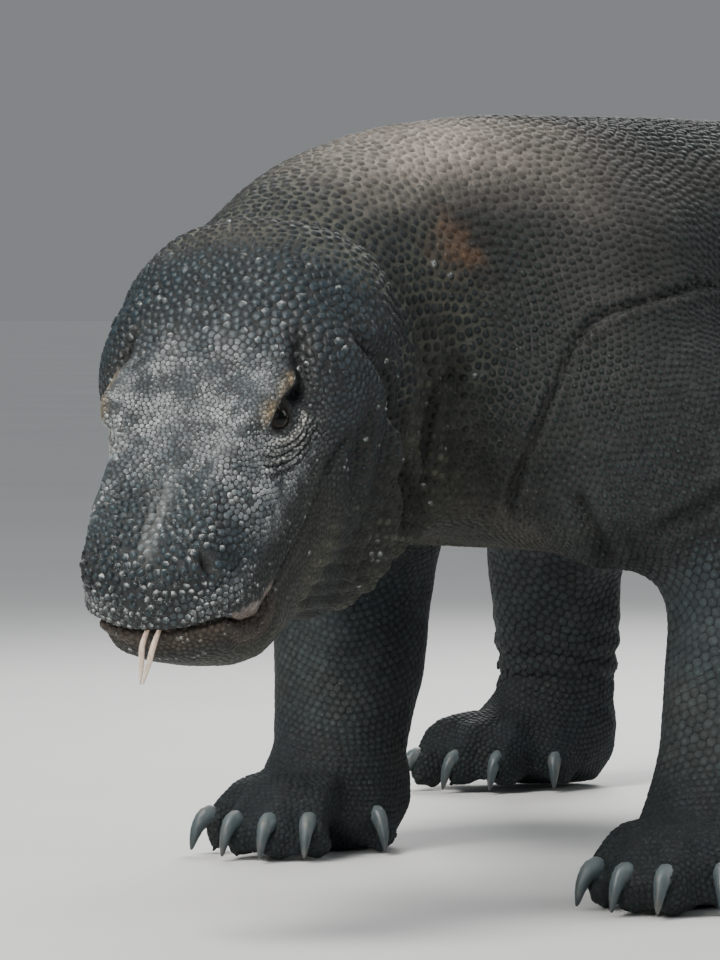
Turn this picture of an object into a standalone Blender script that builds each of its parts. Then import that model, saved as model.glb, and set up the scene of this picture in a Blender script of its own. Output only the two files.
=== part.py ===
"""Komodo dragon, life size, standing with a lowered head.

Units are metres, +Z is up, the nose looks along -Y and the animal's left side is +X.
The flesh is modelled whole and then parted by thin plane cuts into the named parts.
"""
import math

import bmesh
import bpy
from mathutils import Matrix, Vector

# ---- driving dimensions -------------------------------------------------------------------
SPINE_STEP = 0.01          # step used when the spine line is walked
HEAD_LENGTH = 0.225        # snout tip to the back of the skull
HEAD_YAW = math.radians(21.3)      # turn of the head to the animal's left
HEAD_PITCH = math.radians(42.0)    # nose down
SNOUT_TIP = Vector((0.1088, -0.3691, 0.154))
EYE_BACK = 0.1170          # eye centre behind the snout tip
EYE_SIDE = 0.0360          # eye centre from the middle plane
EYE_UP = 0.0298            # eye centre above the mouth line
EYE_RADIUS = 0.0098
MOUTH_GAPE = 0.0046        # opening between the lips at the front
CUT_GAP = 0.0004           # width of the parting cuts
SOCKET_GAP = 0.0004        # clearance round eyes and claws
CLAW_LENGTH = 0.0275
CLAW_AHEAD = 0.0150        # claw tip ahead of the toe end
TONGUE_SIDE = 0.0010       # the tongue leaves the mouth this far left of the middle
CRUMB_VOLUME = 2.0e-6
BODY_VOXEL = 0.0060
SKIN_VOXEL = 0.0036
FLESH_TRIANGLES = 3090

# turn of the spine (degrees from +Y towards +X) at distances behind the shoulder
SPINE_TURN = (
    (-0.27, -31.0), (-0.12, -12.0), (0.00, 5.0), (0.30, -5.0), (0.60, -14.0),
    (0.85, -17.0), (1.20, 2.0), (1.60, 24.0), (2.05, 44.0),
)

# sections of neck, trunk and tail:
# distance behind the shoulder, centre height, half width, reach up, reach down, lean
BODY_SECTIONS = (
    (-0.26, 0.270, 0.054, 0.044, 0.070, 34.0),
    (-0.20, 0.290, 0.063, 0.063, 0.094, 24.0),
    (-0.14, 0.303, 0.071, 0.080, 0.108, 12.0),
    (-0.07, 0.305, 0.087, 0.099, 0.116, 4.0),
    (0.00, 0.300, 0.108, 0.112, 0.120, 0.0),
    (0.08, 0.294, 0.126, 0.119, 0.121, 0.0),
    (0.20, 0.290, 0.140, 0.122, 0.122, 0.0),
    (0.34, 0.285, 0.148, 0.117, 0.121, 0.0),
    (0.48, 0.280, 0.132, 0.102, 0.112, 0.0),
    (0.60, 0.268, 0.104, 0.090, 0.092, 0.0),
    (0.70, 0.245, 0.080, 0.080, 0.074, -8.0),
    (0.82, 0.206, 0.066, 0.074, 0.068, -16.0),
    (1.00, 0.136, 0.054, 0.066, 0.062, -20.0),
    (1.20, 0.062, 0.043, 0.056, 0.0630, -10.0),
    (1.45, 0.042, 0.031, 0.040, 0.0435, -2.0),
    (1.70, 0.027, 0.020, 0.026, 0.0285, 0.0),
    (1.90, 0.0155, 0.011, 0.015, 0.0165, 0.0),
    (2.03, 0.0070, 0.005, 0.006, 0.0076, 0.0),
)

# sections of the head: distance behind the tip, half width, reach up, reach down
HEAD_SECTIONS = (
    (0.002, 0.019, 0.0150, 0.022),
    (0.011, 0.035, 0.0270, 0.034),
    (0.030, 0.042, 0.0350, 0.055),
    (0.058, 0.042, 0.0360, 0.081),
    (0.090, 0.045, 0.0420, 0.092),
    (0.122, 0.052, 0.0500, 0.096),
    (0.150, 0.061, 0.0570, 0.103),
    (0.180, 0.070, 0.0610, 0.110),
    (0.212, 0.071, 0.0610, 0.110),
    (0.245, 0.062, 0.0530, 0.100),
)

# joints of each leg: centre and radius, from the body outwards
ARM_LEFT = (
    ((0.060, -0.005, 0.285), 0.074), ((0.112, 0.004, 0.246), 0.070),
    ((0.152, 0.030, 0.206), 0.059), ((0.166, 0.034, 0.160), 0.049),
    ((0.167, 0.018, 0.105), 0.043), ((0.169, -0.002, 0.055), 0.037),
)
ARM_RIGHT = (
    ((-0.060, 0.020, 0.285), 0.074), ((-0.123, 0.064, 0.248), 0.068),
    ((-0.176, 0.111, 0.208), 0.058), ((-0.193, 0.126, 0.162), 0.050),
    ((-0.190, 0.117, 0.105), 0.045), ((-0.184, 0.102, 0.055), 0.039),
)
LEG_LEFT = (
    ((0.010, 0.610, 0.268), 0.082), ((0.095, 0.610, 0.248), 0.074),
    ((0.165, 0.620, 0.208), 0.056), ((0.190, 0.668, 0.150), 0.047),
    ((0.203, 0.722, 0.090), 0.038), ((0.208, 0.742, 0.052), 0.035),
)
LEG_RIGHT = (
    ((-0.115, 0.580, 0.268), 0.082), ((-0.205, 0.535, 0.250), 0.074),
    ((-0.305, 0.494, 0.212), 0.060), ((-0.347, 0.500, 0.155), 0.047),
    ((-0.358, 0.513, 0.095), 0.041), ((-0.360, 0.517, 0.055), 0.038),
)

# feet: wrist or ankle, turn of the middle digit (degrees from -Y towards +X)
FEET = {
    "hand_L": ((0.173, -0.001), -8.0),
    "hand_R": ((-0.181, 0.100), 8.0),
    "foot_L": ((0.208, 0.742), 16.0),
    "foot_R": ((-0.361, 0.516), -8.0),
}
# digits: reach of the claw tip from the wrist, turn outwards from the foot's own turn, radius
FOOT_DIGITS = (
    (0.067, -46.0, 0.0115), (0.092, -20.0, 0.0125), (0.103, -3.0, 0.0130),
    (0.113, 14.0, 0.0128), (0.083, 48.0, 0.0112),
)
DIGITS = {
    "hand_L": (
        (0.066, -52.0, 0.0108), (0.095, -8.0, 0.0128), (0.105, 12.0, 0.0128),
        (0.104, 26.0, 0.0125), (0.088, 44.0, 0.0112),
    ),
    "hand_R": (
        (0.062, -57.0, 0.0108), (0.105, -22.0, 0.0125), (0.114, -10.0, 0.0128),
        (0.112, 3.0, 0.0125), (0.098, 26.0, 0.0112),
    ),
    "foot_L": FOOT_DIGITS,
    "foot_R": FOOT_DIGITS,
}

# colour, roughness, metallic of each stuff
STUFF = {
    "hide": ((0.070, 0.075, 0.070), 0.62, 0.0),
    "eye": ((0.015, 0.011, 0.008), 0.12, 0.0),
    "claw": ((0.075, 0.095, 0.095), 0.42, 0.0),
    "tongue": ((0.62, 0.47, 0.38), 0.40, 0.0),
}


# ---- small helpers ------------------------------------------------------------------------
def clear_scene():
    for item in list(bpy.data.objects):
        bpy.data.objects.remove(item, do_unlink=True)


def stuff_material(name):
    """A material of its own for each part."""
    kind = "hide"
    if name.startswith("eye"):
        kind = "eye"
    elif name.startswith("claw"):
        kind = "claw"
    elif name.startswith("tongue"):
        kind = "tongue"
    colour, rough, metal = STUFF[kind]
    mat = bpy.data.materials.new(name + "_" + kind)
    mat.use_nodes = True
    shader = mat.node_tree.nodes["Principled BSDF"]
    shader.inputs["Base Color"].default_value = (*colour, 1.0)
    shader.inputs["Roughness"].default_value = rough
    shader.inputs["Metallic"].default_value = metal
    return mat


def new_object(name, bm):
    mesh = bpy.data.meshes.new(name)
    bm.to_mesh(mesh)
    bm.free()
    obj = bpy.data.objects.new(name, mesh)
    bpy.context.scene.collection.objects.link(obj)
    return obj


def bake_modifiers(obj):
    """Replace the mesh by what its modifiers make of it."""
    graph = bpy.context.evaluated_depsgraph_get()
    mesh = bpy.data.meshes.new_from_object(obj.evaluated_get(graph))
    obj.modifiers.clear()
    old = obj.data
    obj.data = mesh
    bpy.data.meshes.remove(old)


def lerp_table(table, at):
    """Smooth value of a (position, value...) table at a position."""
    if at <= table[0][0]:
        return table[0][1:]
    if at >= table[-1][0]:
        return table[-1][1:]
    k = 0
    while table[k + 1][0] < at:
        k += 1
    a = table[max(k - 1, 0)]
    b = table[k]
    c = table[k + 1]
    d = table[min(k + 2, len(table) - 1)]
    span = c[0] - b[0]
    t = (at - b[0]) / span
    out = []
    for i in range(1, len(b)):
        slope_b = (c[i] - a[i]) / max(c[0] - a[0], 1e-9) * span
        slope_c = (d[i] - b[i]) / max(d[0] - b[0], 1e-9) * span
        t2 = t * t
        t3 = t2 * t
        value = (2 * t3 - 3 * t2 + 1) * b[i] + (t3 - 2 * t2 + t) * slope_b
        value += (-2 * t3 + 3 * t2) * c[i] + (t3 - t2) * slope_c
        out.append(value)
    return tuple(out)


def ring(bm, centre, side, up, half, above, below, count=28, square=2.3, keel=None):
    """One closed section; square above 2 makes it fuller at the corners, keel is for its foot."""
    verts = []
    for k in range(count):
        a = 2 * math.pi * k / count
        c = math.cos(a)
        s = math.sin(a)
        power = square if s > 0 or keel is None else keel
        c = math.copysign(abs(c) ** (2.0 / power), c)
        s = math.copysign(abs(s) ** (2.0 / power), s)
        reach = above if s > 0 else below
        verts.append(bm.verts.new(centre + side * (half * c) + up * (reach * s)))
    return verts


def skin_rings(bm, rings):
    for a, b in zip(rings, rings[1:]):
        n = len(a)
        for k in range(n):
            bm.faces.new((a[k], a[(k + 1) % n], b[(k + 1) % n], b[k]))
    bm.faces.new(list(reversed(rings[0])))
    bm.faces.new(rings[-1])


def outward(bm):
    bmesh.ops.recalc_face_normals(bm, faces=bm.faces)


def ball(bm, centre, axes, radii, cuts=(24, 14)):
    """Ellipsoid with its own three axes."""
    frame = Matrix((axes[0], axes[1], axes[2])).transposed().to_4x4()
    size = Matrix.Diagonal((radii[0], radii[1], radii[2], 1.0))
    place = Matrix.Translation(centre) @ frame @ size
    bmesh.ops.create_uvsphere(bm, u_segments=cuts[0], v_segments=cuts[1], radius=1.0,
                              matrix=place)


def tube(bm, joints, count=20, steps=5, flat=1.0):
    """Round limb through (centre, radius) joints, its ends rounded by half balls."""
    rows = []
    travel = 0.0
    for k, (point, radius) in enumerate(joints):
        if k:
            travel += (Vector(point) - Vector(joints[k - 1][0])).length
        rows.append((travel, *point, radius))
    total = rows[-1][0]
    samples = (len(rows) - 1) * steps
    line = [lerp_table(rows, total * k / samples) for k in range(samples + 1)]
    points = [Vector(p[:3]) for p in line]
    radii = [p[3] for p in line]
    rings = []
    side = None
    for k, point in enumerate(points):
        ahead = points[min(k + 1, samples)] - points[max(k - 1, 0)]
        ahead.normalize()
        if side is None:
            side = ahead.orthogonal().normalized()
        side = (side - ahead * side.dot(ahead)).normalized()
        up = ahead.cross(side)
        rings.append((point, ahead.copy(), side.copy(), up, radii[k]))
    made = []
    first = rings[0]
    last = rings[-1]
    for turn in (80, 55, 30):
        a = math.radians(turn)
        made.append(ring(bm, first[0] - first[1] * first[4] * math.sin(a) * flat,
                         first[2], first[3], first[4] * math.cos(a),
                         first[4] * math.cos(a), first[4] * math.cos(a), count, 2.0))
    for point, _, side, up, radius in rings:
        made.append(ring(bm, point, side, up, radius, radius, radius, count, 2.0))
    for turn in (30, 55, 80):
        a = math.radians(turn)
        made.append(ring(bm, last[0] + last[1] * last[4] * math.sin(a) * flat,
                         last[2], last[3], last[4] * math.cos(a),
                         last[4] * math.cos(a), last[4] * math.cos(a), count, 2.0))
    skin_rings(bm, made)


# ---- the spine line -----------------------------------------------------------------------
def walk_spine():
    """Points of the spine line, by distance behind the shoulder."""
    points = {0: (Vector((0.0, 0.0, 0.0)), math.radians(lerp_table(SPINE_TURN, 0.0)[0]))}
    for sign, count in ((1, 206), (-1, 28)):
        here = Vector((0.0, 0.0, 0.0))
        for k in range(1, count + 1):
            turn = math.radians(lerp_table(SPINE_TURN, sign * (k - 0.5) * SPINE_STEP)[0])
            here = here + Vector((math.sin(turn), math.cos(turn), 0.0)) * sign * SPINE_STEP
            end = math.radians(lerp_table(SPINE_TURN, sign * k * SPINE_STEP)[0])
            points[sign * k] = (here.copy(), end)
    return points


SPINE = walk_spine()


def spine_frame(at):
    """Point, side and back directions of the spine line."""
    k = at / SPINE_STEP
    low = math.floor(k)
    low = max(min(low, 205), -28)
    point, turn = SPINE[low]
    after, turn_after = SPINE[low + 1]
    t = k - low
    point = point.lerp(after, t)
    turn = turn + (turn_after - turn) * t
    side = Vector((math.cos(turn), -math.sin(turn), 0.0))
    back = Vector((math.sin(turn), math.cos(turn), 0.0))
    return point, side, back


def body_place(at, across, height):
    """A point beside the spine line."""
    point, side, _ = spine_frame(at)
    return point + side * across + Vector((0.0, 0.0, height))


def trunk_loft(bm):
    """Neck, trunk and tail as one skin of rings."""
    rings = []
    start = BODY_SECTIONS[0][0]
    end = BODY_SECTIONS[-1][0]
    count = 96
    for k in range(count + 1):
        at = start + (end - start) * k / count
        height, half, above, below, lean = lerp_table(BODY_SECTIONS, at)
        point, side, back = spine_frame(at)
        lean = math.radians(lean)
        up = Vector((0.0, 0.0, math.cos(lean))) - back * math.sin(lean)
        keel = 2.25 if at < 0.7 else 2.0
        rings.append(ring(bm, point + Vector((0.0, 0.0, height)), side, up,
                          half, above, below, 40, 2.0, keel))
    skin_rings(bm, rings)


# ---- the head -----------------------------------------------------------------------------
def head_axes():
    """Back, left and up directions of the head."""
    flat_back = Vector((-math.sin(HEAD_YAW), math.cos(HEAD_YAW), 0.0))
    left = Vector((math.cos(HEAD_YAW), math.sin(HEAD_YAW), 0.0))
    back = flat_back * math.cos(HEAD_PITCH) + Vector((0.0, 0.0, math.sin(HEAD_PITCH)))
    up = Vector((0.0, 0.0, math.cos(HEAD_PITCH))) - flat_back * math.sin(HEAD_PITCH)
    return back, left, up


BACK, LEFT, UP = head_axes()


def head_place(back, left, up):
    return SNOUT_TIP + BACK * back + LEFT * left + UP * up


def head_loft(bm):
    rings = []
    start = HEAD_SECTIONS[0][0]
    end = HEAD_SECTIONS[-1][0]
    count = 34
    for k in range(count + 1):
        at = start + (end - start) * (k / count) ** 1.25
        half, above, below = lerp_table(HEAD_SECTIONS, at)
        rings.append(ring(bm, head_place(at, 0.0, 0.0), LEFT, UP, half, above, below,
                          36, 2.4, 2.5))
    skin_rings(bm, rings)
    nose = head_place(0.013, 0.0, 0.004)
    ball(bm, nose, (BACK, LEFT, UP), (0.014, 0.031, 0.024))


def head_bumps(bm):
    """Nasal swellings, ridges from nose to eye, brows, cheeks and upper lips."""
    for s in (1.0, -1.0):
        ball(bm, head_place(0.037, 0.0205 * s, 0.0225), (BACK, LEFT, UP), (0.032, 0.018, 0.0155))
        ball(bm, head_place(0.074, 0.0255 * s, 0.0340), (BACK, LEFT, UP), (0.034, 0.0110, 0.0105))
        brow_axis = (BACK - LEFT * 0.10 * s).normalized()
        brow_up = (UP - brow_axis * UP.dot(brow_axis)).normalized()
        brow_side = brow_up.cross(brow_axis)
        ball(bm, head_place(0.119, 0.0325 * s, 0.0440), (brow_axis, brow_side, brow_up),
             (0.030, 0.0125, 0.0085))
        ball(bm, head_place(0.120, 0.0320 * s, 0.0270), (BACK, LEFT, UP), (0.024, 0.0135, 0.0160))
        ball(bm, head_place(0.128, 0.0400 * s, 0.0120), (BACK, LEFT, UP), (0.036, 0.0125, 0.0150))
        ball(bm, head_place(0.172, 0.0440 * s, 0.0060), (BACK, LEFT, UP), (0.046, 0.0290, 0.0420))
        ball(bm, head_place(0.070, 0.0320 * s, 0.0110), (BACK, LEFT, UP), (0.042, 0.0145, 0.0190))


def throat_bumps(bm):
    """Loose skin hung under jaw and neck."""
    low = Vector((0.0, 0.0, 1.0))
    for at, half, height, size in ((-0.215, 0.052, 0.209, 0.063), (-0.165, 0.062, 0.213, 0.067),
                                   (-0.105, 0.072, 0.238, 0.062)):
        point, side, back = spine_frame(at)
        ball(bm, point + low * height, (side, back, low), (half, 0.066, size))


# ---- legs and feet ------------------------------------------------------------------------
def limb_lofts(bm):
    for joints in (ARM_LEFT, ARM_RIGHT, LEG_LEFT, LEG_RIGHT):
        tube(bm, joints, 24, 5)


def limb_muscles(bm):
    """Shoulder, thigh and elbow masses."""
    level = Vector((0.0, 0.0, 1.0))
    for s, at in ((1.0, 0.03), (-1.0, 0.05)):
        _, side, back = spine_frame(at)
        ball(bm, body_place(at, 0.090 * s, 0.285), (side, back, level), (0.050, 0.082, 0.090))
        ball(bm, body_place(at - 0.03, 0.060 * s, 0.235), (side, back, level),
             (0.055, 0.070, 0.062))
        ball(bm, body_place(at - 0.045, 0.112 * s, 0.212), (side, back, level),
             (0.042, 0.040, 0.044))
    for s, at in ((1.0, 0.60), (-1.0, 0.58)):
        _, side, back = spine_frame(at)
        ball(bm, body_place(at, 0.075 * s, 0.262), (side, back, level), (0.050, 0.085, 0.078))


def digit_frame(name, turn):
    """Ground direction of a digit; outward turns mirror between the sides."""
    (x, y), main = FEET[name]
    sign = 1.0 if name.endswith("L") else -1.0
    angle = math.radians(main + turn * sign)
    forward = Vector((math.sin(angle), -math.cos(angle), 0.0))
    side = Vector((math.cos(angle), math.sin(angle), 0.0))
    return Vector((x, y, 0.0)), forward, side


def digit_line(name, digit):
    """Joints of one digit and the root of its claw."""
    reach, turn, radius = digit
    wrist, forward, side = digit_frame(name, turn)
    level = Vector((0.0, 0.0, 1.0))
    tip = reach - CLAW_AHEAD
    joints = (
        (wrist + forward * 0.012 + level * 0.036, radius * 1.25),
        (wrist + forward * (tip * 0.45) + level * 0.033, radius * 1.12),
        (wrist + forward * (tip * 0.74) + level * 0.0320, radius * 1.10),
        (wrist + forward * (tip * 0.90) + level * 0.0240, radius * 0.98),
        (wrist + forward * tip + level * 0.0170, radius * 0.86),
    )
    return [(tuple(p), r) for p, r in joints], wrist + forward * tip, forward, side


def feet_flesh(bm):
    level = Vector((0.0, 0.0, 1.0))
    for name in FEET:
        wrist, forward, side = digit_frame(name, 0.0)
        long = 0.040 if name.startswith("hand") else 0.050
        ball(bm, wrist + forward * 0.020 + level * 0.022, (side, forward, level),
             (0.044, long, 0.0250))
        ball(bm, wrist + forward * 0.004 + level * 0.034, (side, forward, level),
             (0.044, 0.044, 0.044))
        for digit in DIGITS[name]:
            joints, _, _, _ = digit_line(name, digit)
            tube(bm, joints, 14, 4)
            tip = Vector(joints[-1][0])
            ball(bm, tip - forward * 0.006 - level * 0.0070, (side, forward, level),
                 (digit[2] * 0.92, digit[2] * 1.25, 0.0108), (14, 8))


def claw(bm, base, forward, side, scale, grow):
    """Curved horn from the top of a toe down to just above the floor."""
    level = Vector((0.0, 0.0, 1.0))
    rings = []
    count = 6
    for k in range(count):
        t = k / (count - 1)
        bend = math.radians(8.0 + 62.0 * t)
        ahead = -0.0010 + scale * (0.92 * t - 0.34 * t * t)
        high = 0.0215 + 0.0026 * math.sin(math.pi * t) - 0.0188 * t ** 1.7
        centre = base + forward * ahead + level * high
        up = level * math.cos(bend) + forward * math.sin(bend)
        wide = 0.0057 * (1.0 - t) ** 0.62 + 0.0009
        tall = 0.0067 * (1.0 - t) ** 0.66 + 0.0010
        rings.append(ring(bm, centre, side, up, wide + grow, tall + grow, tall + grow, 6, 2.0))
    skin_rings(bm, rings)


def claw_meshes(grow):
    made = []
    for name in FEET:
        for k, digit in enumerate(DIGITS[name]):
            _, tip, forward, side = digit_line(name, digit)
            bm = bmesh.new()
            claw(bm, tip, forward, side, CLAW_LENGTH, grow)
            outward(bm)
            made.append(new_object("claw_" + name + "_" + str(k + 1), bm))
    return made


# ---- eyes and tongue ----------------------------------------------------------------------
def eye_meshes(grow):
    made = []
    for s, tag in ((1.0, "L"), (-1.0, "R")):
        bm = bmesh.new()
        centre = head_place(EYE_BACK, EYE_SIDE * s, EYE_UP)
        size = EYE_RADIUS + grow
        ball(bm, centre, (BACK, LEFT, UP), (size, size, size), (14, 8))
        outward(bm)
        made.append(new_object("eye_" + tag, bm))
    return made


def tongue_mesh():
    """Forked tongue: one slim hairpin whose two ends hang from the lips."""
    drop = Vector((0.0, 0.0, -1.0))
    ahead = Vector((math.sin(HEAD_YAW), -math.cos(HEAD_YAW), 0.0))
    sides = []
    for s in (1.0, -1.0):
        lip = head_place(-0.0020, TONGUE_SIDE + 0.0030 * s, -0.0006)
        outer = lip + ahead * 0.0055 + drop * 0.0045
        sides.append([
            (head_place(0.0290, TONGUE_SIDE + 0.0015 * s, 0.0), 0.00125),
            (head_place(0.0120, TONGUE_SIDE + 0.0029 * s, 0.0), 0.00130),
            (lip, 0.00135),
            (outer, 0.00165),
            (outer + drop * 0.0060 - LEFT * (0.0006 + 0.0006 * s), 0.00200),
            (outer + drop * 0.0120 - LEFT * (0.0016 + 0.0015 * s), 0.00135),
            (outer + drop * 0.0190 - LEFT * (0.0030 + 0.0023 * s), 0.00050),
        ])
    joints = list(reversed(sides[0])) + sides[1]
    bm = bmesh.new()
    tube(bm, [(tuple(p), r) for p, r in joints], 6, 1)
    outward(bm)
    return new_object("tongue", bm)


# ---- building the flesh -------------------------------------------------------------------
def remeshed(obj, size, factor, times):
    """Melt the overlapping solids of an object into one smooth skin."""
    melt = obj.modifiers.new("melt", "REMESH")
    melt.mode = "VOXEL"
    melt.voxel_size = size
    ease = obj.modifiers.new("ease", "SMOOTH")
    ease.factor = factor
    ease.iterations = times
    bake_modifiers(obj)


def joined(objects, name):
    bm = bmesh.new()
    for item in objects:
        bm.from_mesh(item.data)
        bpy.data.objects.remove(item, do_unlink=True)
    return new_object(name, bm)


def soft_body():
    bm = bmesh.new()
    trunk_loft(bm)
    limb_lofts(bm)
    limb_muscles(bm)
    throat_bumps(bm)
    outward(bm)
    body = new_object("soft_body", bm)
    remeshed(body, BODY_VOXEL, 0.6, 14)
    return body


def fine_ends():
    bm = bmesh.new()
    head_loft(bm)
    head_bumps(bm)
    feet_flesh(bm)
    outward(bm)
    return new_object("fine_ends", bm)


def detail_weight(co):
    """How much of the mesh may be thinned out: 1 on the trunk, little on face and feet."""
    head = (co - head_place(0.09, 0.0, 0.0)).length
    weight = 0.85
    if head < 0.22:
        weight = min(weight, 0.47 + 0.38 * max(0.0, (head - 0.13) / 0.09))
    if co.z < 0.075:
        for (x, y), _ in FEET.values():
            near = math.hypot(co.x - x, co.y - y)
            if near < 0.15:
                weight = min(weight, 0.57)
    return weight


def thin_out(obj):
    """Fewer triangles, kept where the shape is small."""
    group = obj.vertex_groups.new(name="thin")
    for vert in obj.data.vertices:
        group.add((vert.index,), detail_weight(vert.co), "REPLACE")
    obj.data.calc_loop_triangles()
    cut = obj.modifiers.new("thin", "DECIMATE")
    cut.ratio = FLESH_TRIANGLES / len(obj.data.loop_triangles)
    cut.vertex_group = "thin"
    cut.vertex_group_factor = 1.0
    cut.use_collapse_triangulate = True
    bake_modifiers(obj)


def carve(obj, cutter):
    """Exact difference with a helper solid, which is then thrown away."""
    cutter.hide_render = True
    cutter.display_type = "WIRE"
    cut = obj.modifiers.new("cut", "BOOLEAN")
    cut.operation = "DIFFERENCE"
    cut.solver = "EXACT"
    cut.object = cutter
    bake_modifiers(obj)
    bpy.data.objects.remove(cutter, do_unlink=True)


def slab(centre, normal, across, sizes, gap=CUT_GAP):
    """Thin box: its normal, one direction across it and its two half sizes."""
    normal = normal.normalized()
    across = (across - normal * across.dot(normal)).normalized()
    third = normal.cross(across)
    frame = Matrix((normal, across, third)).transposed().to_4x4()
    size = Matrix.Diagonal((gap, sizes[0] * 2, sizes[1] * 2, 1.0))
    bm = bmesh.new()
    bmesh.ops.create_cube(bm, size=1.0, matrix=Matrix.Translation(centre) @ frame @ size)
    outward(bm)
    return new_object("slab", bm)


def mouth_wedge():
    """Gap between the lips, widest in front, running back as a thin cut."""
    outline = (
        (-0.030, MOUTH_GAPE * 0.62), (0.045, MOUTH_GAPE * 0.50), (0.150, CUT_GAP * 1.2),
        (0.2103, CUT_GAP * 0.5),
        (0.2103, -CUT_GAP * 0.5), (0.150, -CUT_GAP * 1.2), (0.045, -MOUTH_GAPE * 0.50),
        (-0.030, -MOUTH_GAPE * 0.62),
    )
    bm = bmesh.new()
    left = [bm.verts.new(head_place(b, 0.14, u)) for b, u in outline]
    right = [bm.verts.new(head_place(b, -0.14, u)) for b, u in outline]
    n = len(outline)
    bm.faces.new(left)
    bm.faces.new(list(reversed(right)))
    for k in range(n):
        bm.faces.new((left[k], right[k], right[(k + 1) % n], left[(k + 1) % n]))
    outward(bm)
    return new_object("mouth_wedge", bm)


def floor_cutter():
    bm = bmesh.new()
    place = Matrix.Translation((0.0, 0.8, -0.1)) @ Matrix.Diagonal((2.4, 4.4, 0.2, 1.0))
    bmesh.ops.create_cube(bm, size=1.0, matrix=place)
    outward(bm)
    return new_object("floor_cutter", bm)


def body_cuts():
    """Planes that part neck, trunk and tail."""
    made = []
    for at, lean, size in ((-0.100, 6.0, 0.22), (0.175, 0.0, 0.22), (0.43, 0.0, 0.20),
                           (0.72, -10.0, 0.105), (1.02, -20.0, 0.10), (1.36, 0.0, 0.08),
                           (1.70, 0.0, 0.06)):
        point, side, back = spine_frame(at)
        height = lerp_table(BODY_SECTIONS, at)[0]
        a = math.radians(lean)
        normal = back * math.cos(a) + Vector((0.0, 0.0, math.sin(a)))
        made.append(slab(point + Vector((0.0, 0.0, height)), normal, side, (size, size)))
    return made


ROOT_OUT = 0.012           # how far outside the joint line the shoulder and hip cuts lie
LIMB_CUTS = (
    # joint list, root plane: place along the limb and half size; then elbow/knee and wrist
    (ARM_LEFT, 1.05, 2.55), (ARM_RIGHT, 1.05, 2.55),
    (LEG_LEFT, 1.10, 2.45), (LEG_RIGHT, 1.10, 2.45),
)


def along(joints, where):
    """Point, direction and radius part-way along a limb."""
    k = min(int(where), len(joints) - 2)
    t = where - k
    a = Vector(joints[k][0])
    b = Vector(joints[k + 1][0])
    radius = joints[k][1] * (1 - t) + joints[k + 1][1] * t
    return a.lerp(b, t), (b - a).normalized(), radius


def limb_cut_slabs():
    """Planes at shoulder or hip, elbow or knee, wrist or ankle of each leg."""
    made = []
    level = Vector((0.0, 0.0, 1.0))
    for joints, root, middle in LIMB_CUTS:
        sign = 1.0 if joints[-1][0][0] > 0 else -1.0
        point, line, radius = along(joints, root)
        at = 0.03 if joints in (ARM_LEFT, ARM_RIGHT) else 0.59
        _, side, back = spine_frame(at)
        normal = (side * sign * 0.86 - level * 0.50).normalized()
        reach = 0.112 if at < 0.1 else 0.150
        made.append(slab(point + side * sign * ROOT_OUT, normal, back, (reach, 0.170)))
        point, line, radius = along(joints, middle)
        made.append(slab(point, line, back, (radius * 1.7, radius * 1.7)))
        point, line, radius = along(joints, 4.72)
        made.append(slab(point, line - level * 3.0, back, (radius * 2.3, radius * 2.3)))
    return made


# middle of each part, used to name the pieces after the cuts
def part_anchors():
    anchors = {
        "head": head_place(0.110, 0.0, 0.030),
        "lower_jaw": head_place(0.080, 0.0, -0.018),
        "neck": body_place(-0.150, 0.0, 0.290),
        "trunk_front": body_place(0.040, 0.0, 0.300),
        "trunk_middle": body_place(0.300, 0.0, 0.280),
        "pelvis": body_place(0.580, 0.0, 0.270),
        "tail_1": body_place(0.870, 0.0, 0.185),
        "tail_2": body_place(1.190, 0.0, 0.070),
        "tail_3": body_place(1.520, 0.0, 0.038),
        "tail_4": body_place(1.850, 0.0, 0.018),
    }
    for tag, joints, names in (
            ("_L", ARM_LEFT, ("upper_arm", "forearm", "hand")),
            ("_R", ARM_RIGHT, ("upper_arm", "forearm", "hand")),
            ("_L", LEG_LEFT, ("thigh", "shank", "foot")),
            ("_R", LEG_RIGHT, ("thigh", "shank", "foot"))):
        anchors[names[0] + tag] = along(joints, 1.7)[0]
        anchors[names[1] + tag] = along(joints, 3.6)[0]
        (x, y), _ = FEET[names[2] + tag]
        _, forward, _ = digit_frame(names[2] + tag, 0.0)
        anchors[names[2] + tag] = Vector((x, y, 0.022)) + forward * 0.02
    return anchors


def worth_keeping(part):
    """False for a crumb left where two cuts cross near the surface."""
    return part.calc_volume() > CRUMB_VOLUME


def loose_pieces(obj):
    """Split an object into its separate closed bodies."""
    bm = bmesh.new()
    bm.from_mesh(obj.data)
    bm.verts.ensure_lookup_table()
    left = set(bm.verts)
    groups = []
    while left:
        start = left.pop()
        stack = [start]
        group = {start}
        while stack:
            vert = stack.pop()
            for edge in vert.link_edges:
                other = edge.other_vert(vert)
                if other in left:
                    left.discard(other)
                    group.add(other)
                    stack.append(other)
        groups.append(group)
    pieces = []
    for group in groups:
        part = bmesh.new()
        index = {}
        for vert in sorted(group, key=lambda v: v.index):
            index[vert] = part.verts.new(vert.co)
        faces = set()
        for vert in group:
            faces.update(vert.link_faces)
        for face in sorted(faces, key=lambda f: f.index):
            part.faces.new([index[v] for v in face.verts])
        if worth_keeping(part):
            pieces.append(part)
        else:
            part.free()
    bm.free()
    bpy.data.objects.remove(obj, do_unlink=True)
    return pieces


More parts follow.
